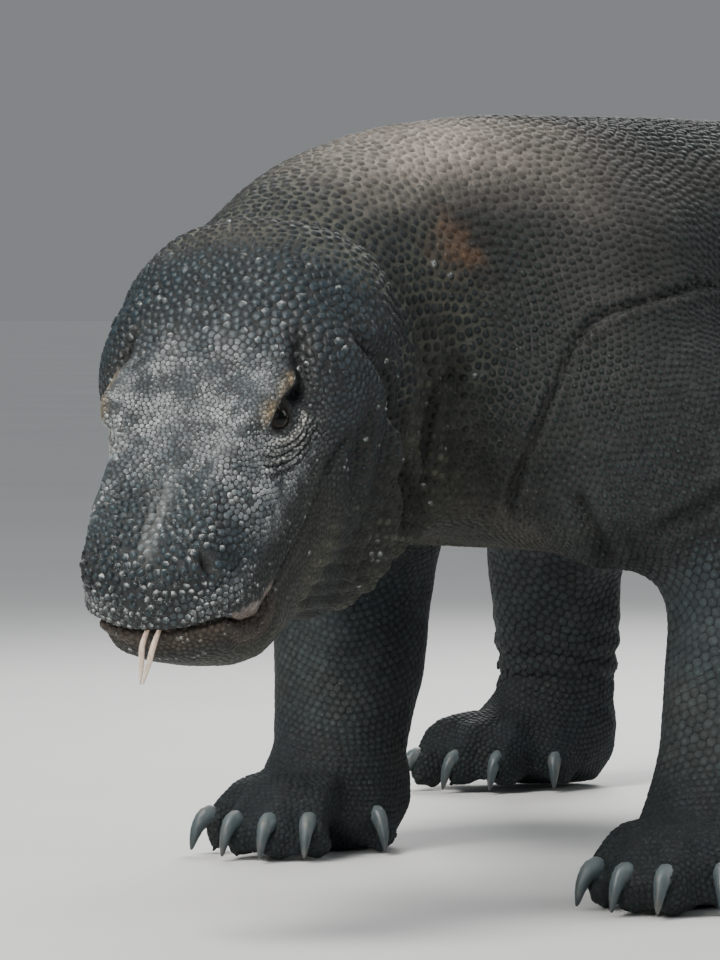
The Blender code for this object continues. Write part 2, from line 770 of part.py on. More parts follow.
def name_pieces(pieces):
    """Name each piece by the part whose middle lies in it or nearest to it."""
    anchors = part_anchors()
    spots = []
    for part in pieces:
        total = Vector((0.0, 0.0, 0.0))
        area = 0.0
        for face in part.faces:
            size = face.calc_area()
            total += face.calc_center_median() * size
            area += size
        spots.append(total / area)
    pairs = []
    for k, spot in enumerate(spots):
        for name, anchor in anchors.items():
            pairs.append(((spot - anchor).length, k, name))
    pairs.sort()
    taken = {}
    for _, k, name in pairs:
        if k not in taken and name not in taken.values():
            taken[k] = name
    return [new_object(taken[k], part) for k, part in enumerate(pieces)]


def finish(obj, smooth_angle=38.0):
    """Tidy the mesh, shade it and give it its material."""
    bm = bmesh.new()
    bm.from_mesh(obj.data)
    bmesh.ops.remove_doubles(bm, verts=bm.verts, dist=0.00002)
    bmesh.ops.triangulate(bm, faces=bm.faces)
    outward(bm)
    for face in bm.faces:
        face.smooth = True
    for edge in bm.edges:
        if len(edge.link_faces) == 2:
            edge.smooth = edge.calc_face_angle(0.0) < math.radians(smooth_angle)
    bm.to_mesh(obj.data)
    bm.free()
    obj.data.materials.clear()
    obj.data.materials.append(stuff_material(obj.name))


def recentre(objects):
    """Put the origin in the middle of the footprint, at floor level."""
    corners = []
    for obj in objects:
        corners.extend(v.co for v in obj.data.vertices)
    low_x = min(c.x for c in corners)
    high_x = max(c.x for c in corners)
    low_y = min(c.y for c in corners)
    high_y = max(c.y for c in corners)
    low_z = min(c.z for c in corners)
    shift = Vector((-(low_x + high_x) / 2, -(low_y + high_y) / 2, -low_z))
    for obj in objects:
        obj.data.transform(Matrix.Translation(shift))


def main():
    clear_scene()
    flesh = joined([soft_body(), fine_ends()], "flesh")
    remeshed(flesh, SKIN_VOXEL, 0.5, 3)
    thin_out(flesh)
    carve(flesh, floor_cutter())
    carve(flesh, joined(claw_meshes(SOCKET_GAP), "claw_sockets"))
    carve(flesh, joined(eye_meshes(SOCKET_GAP), "eye_sockets"))
    carve(flesh, mouth_wedge())
    carve(flesh, slab(head_place(0.2100, 0.0, 0.080), BACK, LEFT, (0.14, 0.0803)))
    carve(flesh, slab(head_place(0.1560, 0.0, -0.100), BACK + UP * 0.25, LEFT, (0.14, 0.1025)))
    for cutter in limb_cut_slabs() + body_cuts():
        carve(flesh, cutter)
    parts = name_pieces(loose_pieces(flesh))
    parts += claw_meshes(0.0)
    parts += eye_meshes(0.0)
    parts.append(tongue_mesh())
    for part in parts:
        finish(part)
    recentre(parts)


main()
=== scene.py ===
"""Looks of a life-size komodo dragon: one sculpted skin, solid scales, eyes, claws, tongue."""
import heapq
import math

import bmesh
import bpy
import numpy as np
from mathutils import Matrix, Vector
from mathutils.bvhtree import BVHTree
from mathutils.kdtree import KDTree


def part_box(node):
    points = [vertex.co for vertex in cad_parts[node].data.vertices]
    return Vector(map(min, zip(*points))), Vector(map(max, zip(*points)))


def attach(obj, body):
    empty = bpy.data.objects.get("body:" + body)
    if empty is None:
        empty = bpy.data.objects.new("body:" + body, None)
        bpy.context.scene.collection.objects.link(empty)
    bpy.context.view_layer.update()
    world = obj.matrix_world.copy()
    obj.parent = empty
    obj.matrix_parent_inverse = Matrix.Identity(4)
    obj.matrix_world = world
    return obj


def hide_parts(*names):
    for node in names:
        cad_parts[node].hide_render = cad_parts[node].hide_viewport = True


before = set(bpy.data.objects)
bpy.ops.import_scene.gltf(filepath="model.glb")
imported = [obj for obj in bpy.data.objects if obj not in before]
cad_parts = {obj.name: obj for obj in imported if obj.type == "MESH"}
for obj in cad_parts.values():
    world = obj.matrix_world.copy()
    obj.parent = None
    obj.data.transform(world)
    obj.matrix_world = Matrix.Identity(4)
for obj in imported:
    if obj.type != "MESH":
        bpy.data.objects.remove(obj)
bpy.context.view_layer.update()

# ---- named sizes, metres ------------------------------------------------------------------
SIDES = {"L": 1.0, "R": -1.0}     # and which way each lies along the head's left
BODY = (
    # name, nodes, coat depth, smoothing, scale pitch, looseness of the rows,
    # colour of the scales, colour of the skin between them (linear)
    ("head", ("head",), 0.0007, 0.040, 0.0031, 0.95,
     (0.0085, 0.018, 0.024), (0.013, 0.019, 0.020)),
    ("jaw", ("lower_jaw",), 0.0007, 0.040, 0.0033, 0.80,
     (0.018, 0.021, 0.018), (0.014, 0.015, 0.012)),
    ("neck", ("neck",), 0.0012, 0.30, 0.0066, 0.70,
     (0.006, 0.011, 0.013), (0.066, 0.070, 0.054)),
    ("trunk", ("trunk_front", "trunk_middle", "pelvis"), 0.0012, 1.0, 0.0060, 0.60,
     (0.0068, 0.011, 0.011), (0.018, 0.019, 0.017)),
    ("tail", ("tail_1", "tail_2", "tail_3", "tail_4"), 0.0012, 0.35, 0.0072, 0.15,
     (0.014, 0.017, 0.015), (0.020, 0.020, 0.017)),
    ("arm", ("upper_arm_L", "upper_arm_R"), 0.0011, 0.30, 0.0043, 0.55,
     (0.011, 0.016, 0.016), (0.021, 0.023, 0.021)),
    ("forearm", ("forearm_L", "forearm_R"), 0.0012, 0.16, 0.0058, 0.14,
     (0.022, 0.030, 0.032), (0.004, 0.005, 0.005)),
    ("thigh", ("thigh_L", "thigh_R"), 0.0012, 0.40, 0.0064, 0.50,
     (0.012, 0.016, 0.015), (0.016, 0.017, 0.015)),
    ("shank", ("shank_L", "shank_R"), 0.0012, 0.16, 0.0060, 0.16,
     (0.013, 0.018, 0.019), (0.005, 0.006, 0.006)),
    ("paw", ("hand_L", "hand_R", "foot_L", "foot_R"), 0.0007, 0.014, 0.0042, 0.40,
     (0.010, 0.016, 0.018), (0.007, 0.010, 0.011)),
)
GROUPS, NODES, COAT_DEPTH, SMOOTHING, SCALE_PITCH, LOOSENESS, SCALE_HIDE, GAP_HIDE = zip(*BODY)
PAWS = NODES[-1]
FLESH = [node for nodes in NODES for node in nodes]
SKIN_VOXEL = 0.0044      # grid of the first, coarse skin
SEAM_FILL = 0.0009       # swells the solids so that their thin cuts melt shut
HEAD_PITCH = math.radians(42.0)   # slope of the head's long axis
EYE_BACK, EYE_UP = 0.1170, 0.0298  # eye centre behind and above the snout's lower tip
FLOOR_LEVEL = 0.0005     # lowest places of the skin
EASE, EASE_TIMES = 0.6, 150      # share and rounds of the smoothing over a net
SUNLIT_SADDLE = np.array((-0.001, 0.125, 0.108))   # pale patch over the shoulders, from the neck: dust and a painted pool of sunlight
SUNLIT_SADDLE_SIZE = np.array((0.056, 0.078, 0.060))
STAIN = np.array((0.045, 0.092, 0.071))     # rust-brown spot beside it, from the neck
TEMPLE_SHADE = np.array((0.146, 0.047, 0.038))    # painted shade in the hollow behind the eye, in head coordinates
TEMPLE_SHADE_SIZE = np.array((0.018, 0.010, 0.016))
# places along the body: middle trunk's rear and front end, and inside the pelvis
REAR = tuple(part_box("trunk_middle")[k][1] for k in (1, 0)) + (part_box("pelvis")[0][1] + 0.06,)

# other colours (linear)
BELLY = np.array((0.070, 0.066, 0.052))
THROAT = np.array((0.050, 0.050, 0.036))
# dust, also the colour of the painted pool of sunlight over the shoulders
DUST_AND_SUNLIGHT = np.array((0.230, 0.200, 0.172))
PALE = np.array((0.34, 0.36, 0.34))
LINING = np.array((0.160, 0.118, 0.096))
# dark red-brown of the mouth's inside, deepened as painted shade in the lips' gap
GULLET_SHADE = np.array((0.040, 0.024, 0.018))
RUST = np.array((0.26, 0.12, 0.05))
LIP_BROWN = np.array((0.050, 0.033, 0.021))
# near black: painted shade in the nostril slits and where the lids meet the eyeballs
PIT_SHADE = np.array((0.004, 0.004, 0.004))
NOSE = np.array((0.036, 0.040, 0.041))


# ---- head axes, taken from the two eyes of the frame --------------------------------------
def box_middle(node):
    low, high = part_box(node)
    return (np.array(low) + np.array(high)) / 2.0


EYES = {side: box_middle("eye_" + side) for side in SIDES}
LEFT = EYES["L"] - EYES["R"]
LEFT /= np.linalg.norm(LEFT)
BACK = np.array((-LEFT[1] * math.cos(HEAD_PITCH), LEFT[0] * math.cos(HEAD_PITCH),
                 math.sin(HEAD_PITCH)))
UP = np.cross(LEFT, BACK)
UP *= np.sign(UP[2])
SNOUT = (EYES["L"] + EYES["R"]) / 2.0 - BACK * EYE_BACK - UP * EYE_UP
EYE_SIZE = float(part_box("eye_L")[1][2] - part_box("eye_L")[0][2]) / 2.0


def head_coords(points):
    """Distances back, left and up from the snout's lower tip."""
    off = np.asarray(points) - SNOUT
    return off @ BACK, off @ LEFT, off @ UP


# ---- small number helpers -----------------------------------------------------------------
def bell(x, width):
    return np.exp(-(x / width) ** 2)


def ramp(low, high, x):
    t = held((x - low) / (high - low))
    return t * t * (3.0 - 2.0 * t)


def mix(a, b, t):
    return a + (b - a) * t[:, None]


def lattice(ix, iy, iz, seed):
    """Repeatable random number at whole-numbered grid points."""
    n = (ix * 374761393 + iy * 668265263 + iz * 2147483647 + seed * 974634777) & 0xFFFFFFFF
    n = ((n ^ (n >> 13)) * 1274126177) & 0xFFFFFFFF
    return ((n ^ (n >> 16)) & 0xFFFFFF) / float(0xFFFFFF)


def clouds(points, size, seed=0, octaves=2):
    """Smooth random field from 0 to 1 with lumps of that size."""
    total, weight, gain = 0.0, 0.0, 1.0
    p = np.asarray(points) / size
    for octave in range(octaves):
        cell = np.floor(p).astype(np.int64)
        f = p - cell
        f = f * f * (3.0 - 2.0 * f)
        value = 0.0
        for corner in np.ndindex(2, 2, 2):
            wx, wy, wz = np.where(corner, f, 1 - f).T
            value = value + wx * wy * wz * lattice(*(cell + corner).T, seed + octave)
        total = total + gain * value
        weight += gain
        gain *= 0.5
        p = p * 2.03 + 17.3
    return total / weight


def hashed(count, seed):
    index = np.arange(count, dtype=np.int64)
    return lattice(index, index * 7 + 3, index * 13 + 5, seed)


def table(at, rows):
    """Smoothly eased value of a short table of (place, value)."""
    xs = np.array([r[0] for r in rows])
    ys = np.array([r[1] for r in rows])
    k = np.clip(np.searchsorted(xs, at) - 1, 0, len(xs) - 2)
    t = held((at - xs[k]) / (xs[k + 1] - xs[k]))
    t = t * t * (3.0 - 2.0 * t) * 0.5 + t * 0.5
    return ys[k] + (ys[k + 1] - ys[k]) * t


def of(shares, *groups):
    """Summed share of those body groups at each point."""
    return sum(shares[:, GROUPS.index(group)] for group in groups)


def length(v):
    return np.linalg.norm(v, axis=-1)


def unit(v):
    return v / np.maximum(length(v)[..., None], 1e-12)


def held(x):
    return np.clip(x, 0.0, 1.0)


def line_offset(points, line):
    """Distance to a polyline and how far along it (0 to 1) the nearest place is."""
    line = np.asarray(line, float)
    best = np.full(len(points), 1e9)
    along = np.zeros(len(points))
    spans = len(line) - 1
    for k in range(spans):
        a, b = line[k], line[k + 1]
        d = b - a
        t = held((points - a) @ d / (d @ d))
        dist = length(points - a - t[:, None] * d)
        near = dist < best
        best[near] = dist[near]
        along[near] = (k + t[near]) / spans
    return best, along


# ---- meshes as arrays ---------------------------------------------------------------------
def read(data, key, width=1, dtype=float):
    values = np.empty(len(data) * width, dtype=dtype)
    data.foreach_get(key, values)
    return values.reshape(-1, width) if width > 1 else values


def write(data, key, values, dtype=np.float32):
    data.foreach_set(key, np.ascontiguousarray(values, dtype=dtype).ravel())


def mesh_arrays(me):
    me.calc_loop_triangles()
    return read(me.vertices, "co", 3), read(me.loop_triangles, "vertices", 3, np.int32)


def mesh_edges(me):
    return read(me.edges, "vertices", 2, np.int32)


def corners_of(co, tri):
    return (co[tri[:, k]] for k in range(3))


def to_points(values, tri, count):
    """Sums vectors of the faces at their corners."""
    total = np.zeros((count, 3))
    for k in range(3):
        for axis in range(3):
            total[:, axis] += np.bincount(tri[:, k], values[:, axis], count)
    return total


def point_normals(co, tri):
    a, b, c = corners_of(co, tri)
    return unit(to_points(np.cross(b - a, c - a), tri, len(co)))


class Net:
    """Neighbour averages over the edges of a mesh."""

    def __init__(self, count, edges):
        self.count = count
        self.a = np.concatenate((edges[:, 0], edges[:, 1]))
        self.b = np.concatenate((edges[:, 1], edges[:, 0]))
        self.degree = np.maximum(np.bincount(self.a, minlength=count), 1)

    def mean(self, x):
        if x.ndim == 1:
            return np.bincount(self.a, x[self.b], self.count) / self.degree
        return np.stack([self.mean(x[:, k]) for k in range(x.shape[1])], 1)

    def eased(self, x, share, times):
        for _ in range(times):
            x = x + (self.mean(x) - x) * share
        return x


def fast_mesh(name, co, tri):
    me = bpy.data.meshes.new(name)
    me.vertices.add(len(co))
    write(me.vertices, "co", co)
    me.loops.add(len(tri) * 3)
    write(me.loops, "vertex_index", tri, np.int32)
    me.polygons.add(len(tri))
    write(me.polygons, "loop_start", np.arange(0, len(tri) * 3, 3), np.int32)
    me.update(calc_edges=True)
    me.shade_smooth()
    return me


def new_object(name, data, place=(0.0, 0.0, 0.0)):
    obj = bpy.data.objects.new(name, data)
    obj.location = place
    bpy.context.scene.collection.objects.link(obj)
    return obj


def put_number(me, name, values):
    write(me.attributes.new(name, "FLOAT", "POINT").data, "value", values)


def get_number(me, name):
    return read(me.attributes[name].data, "value")


def put_colour(me, name, rgb):
    rgba = np.concatenate((rgb, np.ones((len(rgb), 1))), 1)
    write(me.attributes.new(name, "FLOAT_COLOR", "POINT").data, "color", rgba)


# ---- the coarse skin ----------------------------------------------------------------------
def flesh_block():
    """All flesh solids and eyes, swollen a little and with the mouth filled."""
    bm = bmesh.new()
    for name in FLESH:
        bm.from_mesh(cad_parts[name].data)
    bmesh.ops.remove_doubles(bm, verts=bm.verts, dist=1e-5)
    bm.normal_update()
    for v in bm.verts:
        v.co += v.normal * SEAM_FILL
    for name, lift in (("lower_jaw", 0.0036), ("eye_L", 0.0), ("eye_R", 0.0)):
        before = len(bm.verts)
        bm.from_mesh(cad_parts[name].data)
        bm.verts.ensure_lookup_table()
        for v in bm.verts[before:]:
            v.co += Vector(UP * lift)
    bmesh.ops.remove_doubles(bm, verts=bm.verts, dist=1e-6)
    me = bpy.data.meshes.new("flesh_block")
    bm.to_mesh(me)
    bm.free()
    return new_object("flesh_block", me)


def baked(obj, name):
    """Mesh of an object with its modifiers done; the object is dropped."""
    deps = bpy.context.evaluated_depsgraph_get()
    me = bpy.data.meshes.new_from_object(obj.evaluated_get(deps))
    me.name = name
    bpy.data.objects.remove(obj)
    return me


def melted(obj, voxel):
    mod = obj.modifiers.new("melt", "REMESH")
    mod.mode = "VOXEL"
    mod.voxel_size = voxel
    return baked(obj, "skin")


def biggest_island(me):
    """Keeps the outer skin and drops any closed bubble inside it."""
    bm = bmesh.new()
    bm.from_mesh(me)
    seen, best = set(), []
    for start in bm.verts:
        if start in seen:
            continue
        island, todo = [start], [start]
        seen.add(start)
        while todo:
            for edge in todo.pop().link_edges:
                for v in edge.verts:
                    if v not in seen:
                        seen.add(v)
                        island.append(v)
                        todo.append(v)
        if len(island) > len(best):
            best = island
    keep = set(best)
    bmesh.ops.delete(bm, geom=[v for v in bm.verts if v not in keep], context="VERTS")
    bm.to_mesh(me)
    bm.free()
    return me


def flesh_tree():
    """Search tree over the flesh solids and the node that each of its faces is from."""
    cos, tris, owner, base = [], [], [], 0
    for k, name in enumerate(FLESH):
        co, tri = mesh_arrays(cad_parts[name].data)
        cos.append(co)
        tris.append(tri + base)
        owner.append(np.full(len(tri), k))
        base += len(co)
    tree = BVHTree.FromPolygons(np.concatenate(cos).tolist(), np.concatenate(tris).tolist(),
                                all_triangles=True)
    return tree, np.concatenate(owner)


def nodes_of(points, tree, owner):
    return owner[np.array([tree.find_nearest(p)[2] for p in points.tolist()])]


def group_shares(nodes, net, times=14):
    """Soft share of every body group at each point of the coarse skin."""
    group_of = np.array([k for k, names in enumerate(NODES) for _ in names])
    shares = np.zeros((len(nodes), len(GROUPS)))
    shares[np.arange(len(nodes)), group_of[nodes]] = 1.0
    return net.eased(shares, EASE, times)


def rows_from_snout(co, edges, quads, pitch):
    """Weighted distance over the skin from the snout: whole numbers are rows of scales."""
    links = [edges]
    if len(quads):
        links += [quads[:, (0, 2)], quads[:, (1, 3)]]
    links = np.concatenate(links)
    a, b = links[:, 0], links[:, 1]
    cost = length(co[a] - co[b]) / (0.433 * (pitch[a] + pitch[b]))
    near = [[] for _ in range(len(co))]
    for i, j, c in zip(a.tolist(), b.tolist(), cost.tolist()):
        near[i].append((j, c))
        near[j].append((i, c))
    start = int(np.argmin(length(co - (SNOUT + UP * 0.012))))
    far = [1e9] * len(co)
    far[start] = 0.0
    heap = [(0.0, start)]
    while heap:
        d, i = heapq.heappop(heap)
        if d > far[i]:
            continue
        for j, c in near[i]:
            if d + c < far[j]:
                far[j] = d + c
                heapq.heappush(heap, (d + c, j))
    return np.array(far)


def wanted_pitch(co, shares):
    """Size of the scales: smallest on face and feet, beads on neck and back."""
    pitch = shares @ np.array(SCALE_PITCH)
    back, _, up = head_coords(co)
    head, face, neck = of(shares, "head"), of(shares, "head", "jaw"), of(shares, "neck")
    y, z, tip = co[:, 1], co[:, 2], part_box("tail_4")[1][1]
    throat = (of(shares, "jaw") + 0.7 * neck) * ramp(-0.046, -0.072, up) \
        * ramp(0.085, 0.105, back) * ramp(0.26, 0.21, back)
    pulls = [    # wanted size, share, amount
        (0.0026, head * ramp(0.075, 0.100, back), 0.8),
        (0.0060, head * ramp(0.125, 0.170, back), ramp(-0.010, 0.040, up)),
        (0.0050, face * ramp(0.070, 0.040, back) * ramp(0.008, 0.022, up), 0.9),
        (0.0040, face * bell(up - lip_line(back) - 0.006, 0.008) * ramp(0.10, 0.07, back), 0.8)]
    pulls += [(0.0020, ramp(0.030, 0.014, length(co - EYES[side])), 1.0)
              for side in SIDES]
    pulls += [
        (0.0030, held(throat), 0.85),
        (0.0046 + 0.0018 * ramp(0.300, 0.370, z), of(shares, "trunk") * ramp(*REAR[:2], y), 1.0),
        (0.0046, of(shares, "forearm") * (co[:, 0] < 0.0), 1.0),
        (0.0048, neck * ramp(0.285, 0.235, z), 1.0)]
    for size, share, amount in pulls:
        pitch = pitch + (size - pitch) * share * amount
    pitch = pitch + 0.0010 * (of(shares, "trunk") * ramp(*REAR[1:], y))
    pitch = pitch + (0.0030 - pitch) * of(shares, "tail") * ramp(tip - 0.16, tip - 0.01, y)
    toes = of(shares, "paw") * ramp(0.050, 0.020, z)
    return (pitch - 0.0007 * toes) * (0.84 + 0.32 * clouds(co, 0.022, 51))


# ---- sculpting ----------------------------------------------------------------------------
LIP_TABLE = ((-0.02, -0.0022), (0.006, -0.0030), (0.019, -0.0062), (0.042, -0.0185),
             (0.069, -0.0245), (0.093, -0.0250), (0.112, -0.0190), (0.128, -0.0090),
             (0.150, 0.0020))


def lip_line(back):
    return table(back, LIP_TABLE)


def raise_mask(masks, name, values):
    masks[name] = np.maximum(masks.get(name, 0.0), values)


def crease(points, line, depth, width, roll=0.0, ease=0.12):
    """Push for a fold along a line: a groove with a soft roll on both sides."""
    dist, along = line_offset(points, line)
    fade = ramp(0.0, ease, along) * ramp(1.0, 1.0 - ease, along)
    fade = np.where(dist < width * 6, fade, 0.0)
    return (-depth * bell(dist, width) + roll * bell(dist - width * 2.0, width)) * fade


def snapped(line, points, parts=5):
    """A polyline laid onto the nearest of those points, for folds that follow the skin."""
    line = np.asarray(line, float)
    t = np.linspace(0, len(line) - 1, (len(line) - 1) * parts + 1)
    fine = np.stack([np.interp(t, np.arange(len(line)), line[:, k]) for k in range(3)], 1)
    for _ in range(3):
        fine = np.array([points[int(np.argmin(((points - p) ** 2).sum(1)))] for p in fine])
        fine[1:-1] = (fine[:-2] + fine[1:-1] + fine[2:]) / 3
    return fine


def mirrored(points):
    """Head coordinates with the left distance made positive on both sides."""
    back, left, up = head_coords(points)
    return np.stack((back, np.abs(left), up), 1)


def on_sides(points, line, parts=5):
    """Distance from a line laid on each side of head and neck in turn, and place along it."""
    back, left, up = head_coords(points)
    dist, along = np.ones(len(points)), np.zeros(len(points))
    for sign in (1.0, -1.0):
        mine = left * sign > 0.0
        half = np.stack((back, left * sign, up), 1)[mine]
        dist[mine], along[mine] = line_offset(half, snapped(line, half, parts))
    return dist, along


JOWL_FOLD = ((0.212, 0.012, 0.072), (0.205, 0.034, 0.064), (0.194, 0.055, 0.044),
             (0.176, 0.0635, 0.036), (0.177, 0.070, 0.023), (0.1775, 0.072, -0.001),
             (0.1833, 0.0686, -0.0265), (0.1946, 0.0593, -0.0646), (0.2075, 0.0490, -0.0980),
             (0.2060, 0.0480, -0.1170), (0.2200, 0.0360, -0.1500))
NECK_FOLD = ((0.2943, 0.0825, -0.0931), (0.2809, 0.0701, -0.0906), (0.2639, 0.0603, -0.0806),
             (0.2557, 0.0577, -0.0871), (0.2415, 0.0557, -0.1019), (0.2295, 0.0527, -0.1189),
             (0.2260, 0.0500, -0.1299), (0.2340, 0.0380, -0.1500))
BROW_CREST = ((0.094, 0.0360, 0.0400), (0.1021, 0.0395, 0.0424), (0.1084, 0.0408, 0.0444),
              (0.1159, 0.0428, 0.0441), (0.1264, 0.0430, 0.0420), (0.1354, 0.0434, 0.0405),
              (0.145, 0.0440, 0.0412))
SOCKET = ((0.108, 0.0425, 0.0390), (0.116, 0.0445, 0.0385), (0.124, 0.0455, 0.0360),
          (0.131, 0.0470, 0.0320), (0.137, 0.0485, 0.0320))
TEMPLE_VALLEY = ((0.160, 0.042, 0.047), (0.148, 0.0455, 0.042), (0.138, 0.048, 0.035),
                 (0.129, 0.049, 0.028))
NOSTRIL = (0.0176, 0.0308, 0.0265)
NOSE_GROOVE = ((0.0095, 0.029, 0.0150), (0.0234, 0.0377, 0.0148), (0.046, 0.041, 0.0124))
CHEEK_GROOVE = ((0.122, 0.051, -0.017), (0.136, 0.0575, -0.009), (0.150, 0.060, 0.004),
                (0.160, 0.062, 0.016))


LID_LONG, LID_TALL, LID_WAVE = 0.0150, 0.0082, 0.40   # lower lid's ridge, wrinkles in its size
THROAT_FINE, THROAT_BROAD = 0.0084, 0.0190            # wrinkles under the throat


def sculpt_lips(back, up, face, push, masks):
    """Parted lips: hanging upper lip, pinkish lining, a gap darkened with painted shade, and brown
    lower lip.
    """
    lip = up - lip_line(back)
    reach = ramp(0.150, 0.100, back) * face
    corner = ramp(0.010, 0.026, back) * ramp(0.068, 0.052, back)
    rim = lip + 0.0140 * corner
    push -= bell(rim, 0.0020) * reach * (0.0026 + 0.0052 * ramp(0.100, 0.050, back))
    push -= 0.0016 * ramp(0.0005, -0.0015, lip) * ramp(-0.004, 0.0, rim) * corner * reach
    push += 0.0014 * bell(lip - 0.0062, 0.0034) * reach
    push += 0.0010 * bell(rim + 0.0062, 0.0030) * reach
    push -= 0.0016 * ramp(0.0, -0.003, rim) * ramp(-0.020, -0.010, rim) * reach
    push -= 0.0022 * bell(lip + 0.0105, 0.0050) * corner * face
    masks["lining"] = held(ramp(0.0028, 0.0008, lip) * ramp(-0.0006, 0.0012, rim)
                           * ramp(0.066, 0.052, back) * face)
    # painted shade in the gap between the lips
    masks["gullet"] = held(ramp(0.0004, -0.0010, rim) * ramp(-0.015, -0.009, rim)
                           * corner * face * 1.3)
    masks["lip"] = held(ramp(0.0, -0.002, rim) * ramp(-0.018, -0.010, rim)
                        * ramp(0.070, 0.040, back) * face)


def sculpt_nose(m, back, up, near, push, masks):
    """Smooth oval nostril patches, each with a slit, and beaded swellings behind them."""
    off = m - np.array(NOSTRIL)
    tilt = unit(np.array((-0.20, 0.35, -0.92)))
    along = off @ tilt
    away = length(off - along[:, None] * tilt)
    patch = np.sqrt((along / 0.0068) ** 2 + (away / 0.0044) ** 2)
    slit = np.sqrt((along / 0.0050) ** 2 + (away / 0.0019) ** 2)
    push -= (0.0014 * np.exp(-patch ** 4) + 0.0048 * np.exp(-slit ** 2)) * near
    push += 0.0011 * bell(patch - 1.35, 0.28) * near
    masks["patch"] = np.exp(-patch ** 6) * near
    # the nostril slit, painted near black as shade
    masks["pit"] = np.exp(-(slit * 0.9) ** 4) * near
    push += crease(m, NOSE_GROOVE, 0.0013, 0.0018, 0.0003) * near
    swell = length((m - np.array((0.036, 0.019, 0.036))) / np.array((0.026, 0.014, 0.016)))
    push += 0.0013 * bell(swell, 0.9) * near
    middle = bell(m[:, 1], 0.0046) * ramp(0.012, 0.022, back) * ramp(0.085, 0.055, back) \
        * ramp(0.018, 0.028, up) * near
    push -= 0.0016 * middle
    masks["strip"] = middle


def sculpt_brow(m, near, push, masks):
    """Fleshy brow shelf, the hollow under it and the valley behind, both darkened with painted
    shade.
    """
    dist, along = line_offset(m, snapped(BROW_CREST, m))
    ends = ramp(0.0, 0.2, along) * ramp(1.0, 0.80, along)
    push += 0.0044 * bell(dist, 0.0046) * ends * near
    masks["brow"] = bell(dist, 0.0027) * ramp(0.05, 0.22, along) * ramp(0.90, 0.70, along) * near \
        * ramp(0.25, 0.6, clouds(m, 0.006, 7))
    dist, along = line_offset(m, snapped(SOCKET, m))
    ends = ramp(0.0, 0.25, along) * ramp(1.0, 0.85, along)
    push -= 0.0046 * bell(dist, 0.0034) * ends * near
    # painted shade under the brow
    masks["hollow_shade"] = bell(dist, 0.0050) * ramp(0.0, 0.15, along) * near
    valley = snapped(TEMPLE_VALLEY, m)
    push += crease(m, valley, 0.0042, 0.0040, 0.0004, 0.2)
    # painted shade along the valley behind the eye
    raise_mask(masks, "hollow_shade", 0.75 * near * bell(line_offset(m, valley)[0], 0.0065))


def sculpt_lids(co, near, push, masks):
    """Ridge of the lower lid with wrinkles ringing it, painted shade in their troughs and a pale
    crest colour that is partly painted highlight.
    """
    for side, sign in SIDES.items():
        off = co - EYES[side]
        flat_back, flat_up = off @ BACK, off @ UP
        ring = np.sqrt((flat_back / LID_LONG) ** 2 + (flat_up / LID_TALL) ** 2)
        ring = ring + 0.16 * (clouds(co, 0.006, 9) - 0.5)
        around = np.degrees(np.arctan2(-flat_up / LID_TALL, -flat_back / LID_LONG))
        outer = ((off @ LEFT) * sign > 0.0) * near * ramp(2, 24, around)
        first = bell(ring - 1.0, 0.13) * outer * ramp(150, 122, around)
        wave = 0.5 + 0.5 * np.cos((ring - 1.0) * 2 * math.pi / LID_WAVE)
        wave = (wave ** 0.7 - 0.5) * ramp(1.15, 1.3, ring) * ramp(3.0, 1.9, ring) \
            * outer * ramp(132, 100, around)
        push += 0.0024 * first + 0.0030 * wave
        # painted shade in the troughs of the lid wrinkles
        raise_mask(masks, "hollow_shade", np.clip(-wave * 2.2, 0, 0.9))
        # pale crests, partly pale skin and partly painted highlight
        raise_mask(masks, "ridge", np.maximum(first, held(wave * 1.4) * ramp(2.6, 1.4, ring)))


def sculpt_folds(co, push, masks):
    """Jowl and neck folds: an overhanging jowl with a painted highlight on its rim, and painted
    shade in the folds and on the neck behind the jowl.
    """
    line = np.array(JOWL_FOLD)

    def beside(shift):
        return on_sides(co, line + np.array((shift, 0.0, 0.0)))

    dist, along = beside(0.0)
    fade = (0.08 + 0.92 * ramp(0.22, 0.45, along)) * ramp(0.0, 0.1, along) * ramp(1.0, 0.93, along)
    push -= 0.0084 * bell(dist, 0.0044) * fade
    # painted shade in the jowl fold and on the neck behind it
    masks["fold_shade"] = bell(dist, 0.0048) * fade
    for shift, width in ((0.0060, 0.0050), (0.0120, 0.0052)):
        dist, along = beside(shift)
        raise_mask(masks, "fold_shade", bell(dist, width) * ramp(0.40, 0.55, along)
                   * ramp(1.0, 0.93, along))
    dist, along = beside(0.0105)
    lower = ramp(0.38, 0.52, along)
    push += 0.0022 * bell(dist, 0.0060) * ramp(0.25, 0.4, along) * (1 - lower)
    push -= 0.0040 * bell(dist, 0.0085) * lower * ramp(1.0, 0.93, along)
    dist, along = beside(-0.0085)
    push += 0.0026 * bell(dist, 0.0060) * ramp(0.38, 0.52, along) * ramp(1.0, 0.93, along)
    dist, along = beside(-0.0030)
    # painted highlight along the jowl's rim
    masks["hem"] = bell(dist, 0.0016) * ramp(0.25, 0.35, along) * ramp(0.80, 0.65, along)
    dist, along = on_sides(co, NECK_FOLD)
    ends = ramp(0.0, 0.4, along) * ramp(1.0, 0.8, along)
    push -= 0.0062 * bell(dist, 0.0038) * ends
    # painted shade in the neck fold
    raise_mask(masks, "fold_shade", bell(dist, 0.0038) * ends)
    dist, along = on_sides(co, np.array(NECK_FOLD) - np.array((0.0095, 0.0, 0.0)))
    push += 0.0026 * bell(dist, 0.0055) * ramp(0.2, 0.4, along) * ramp(1.0, 0.8, along)


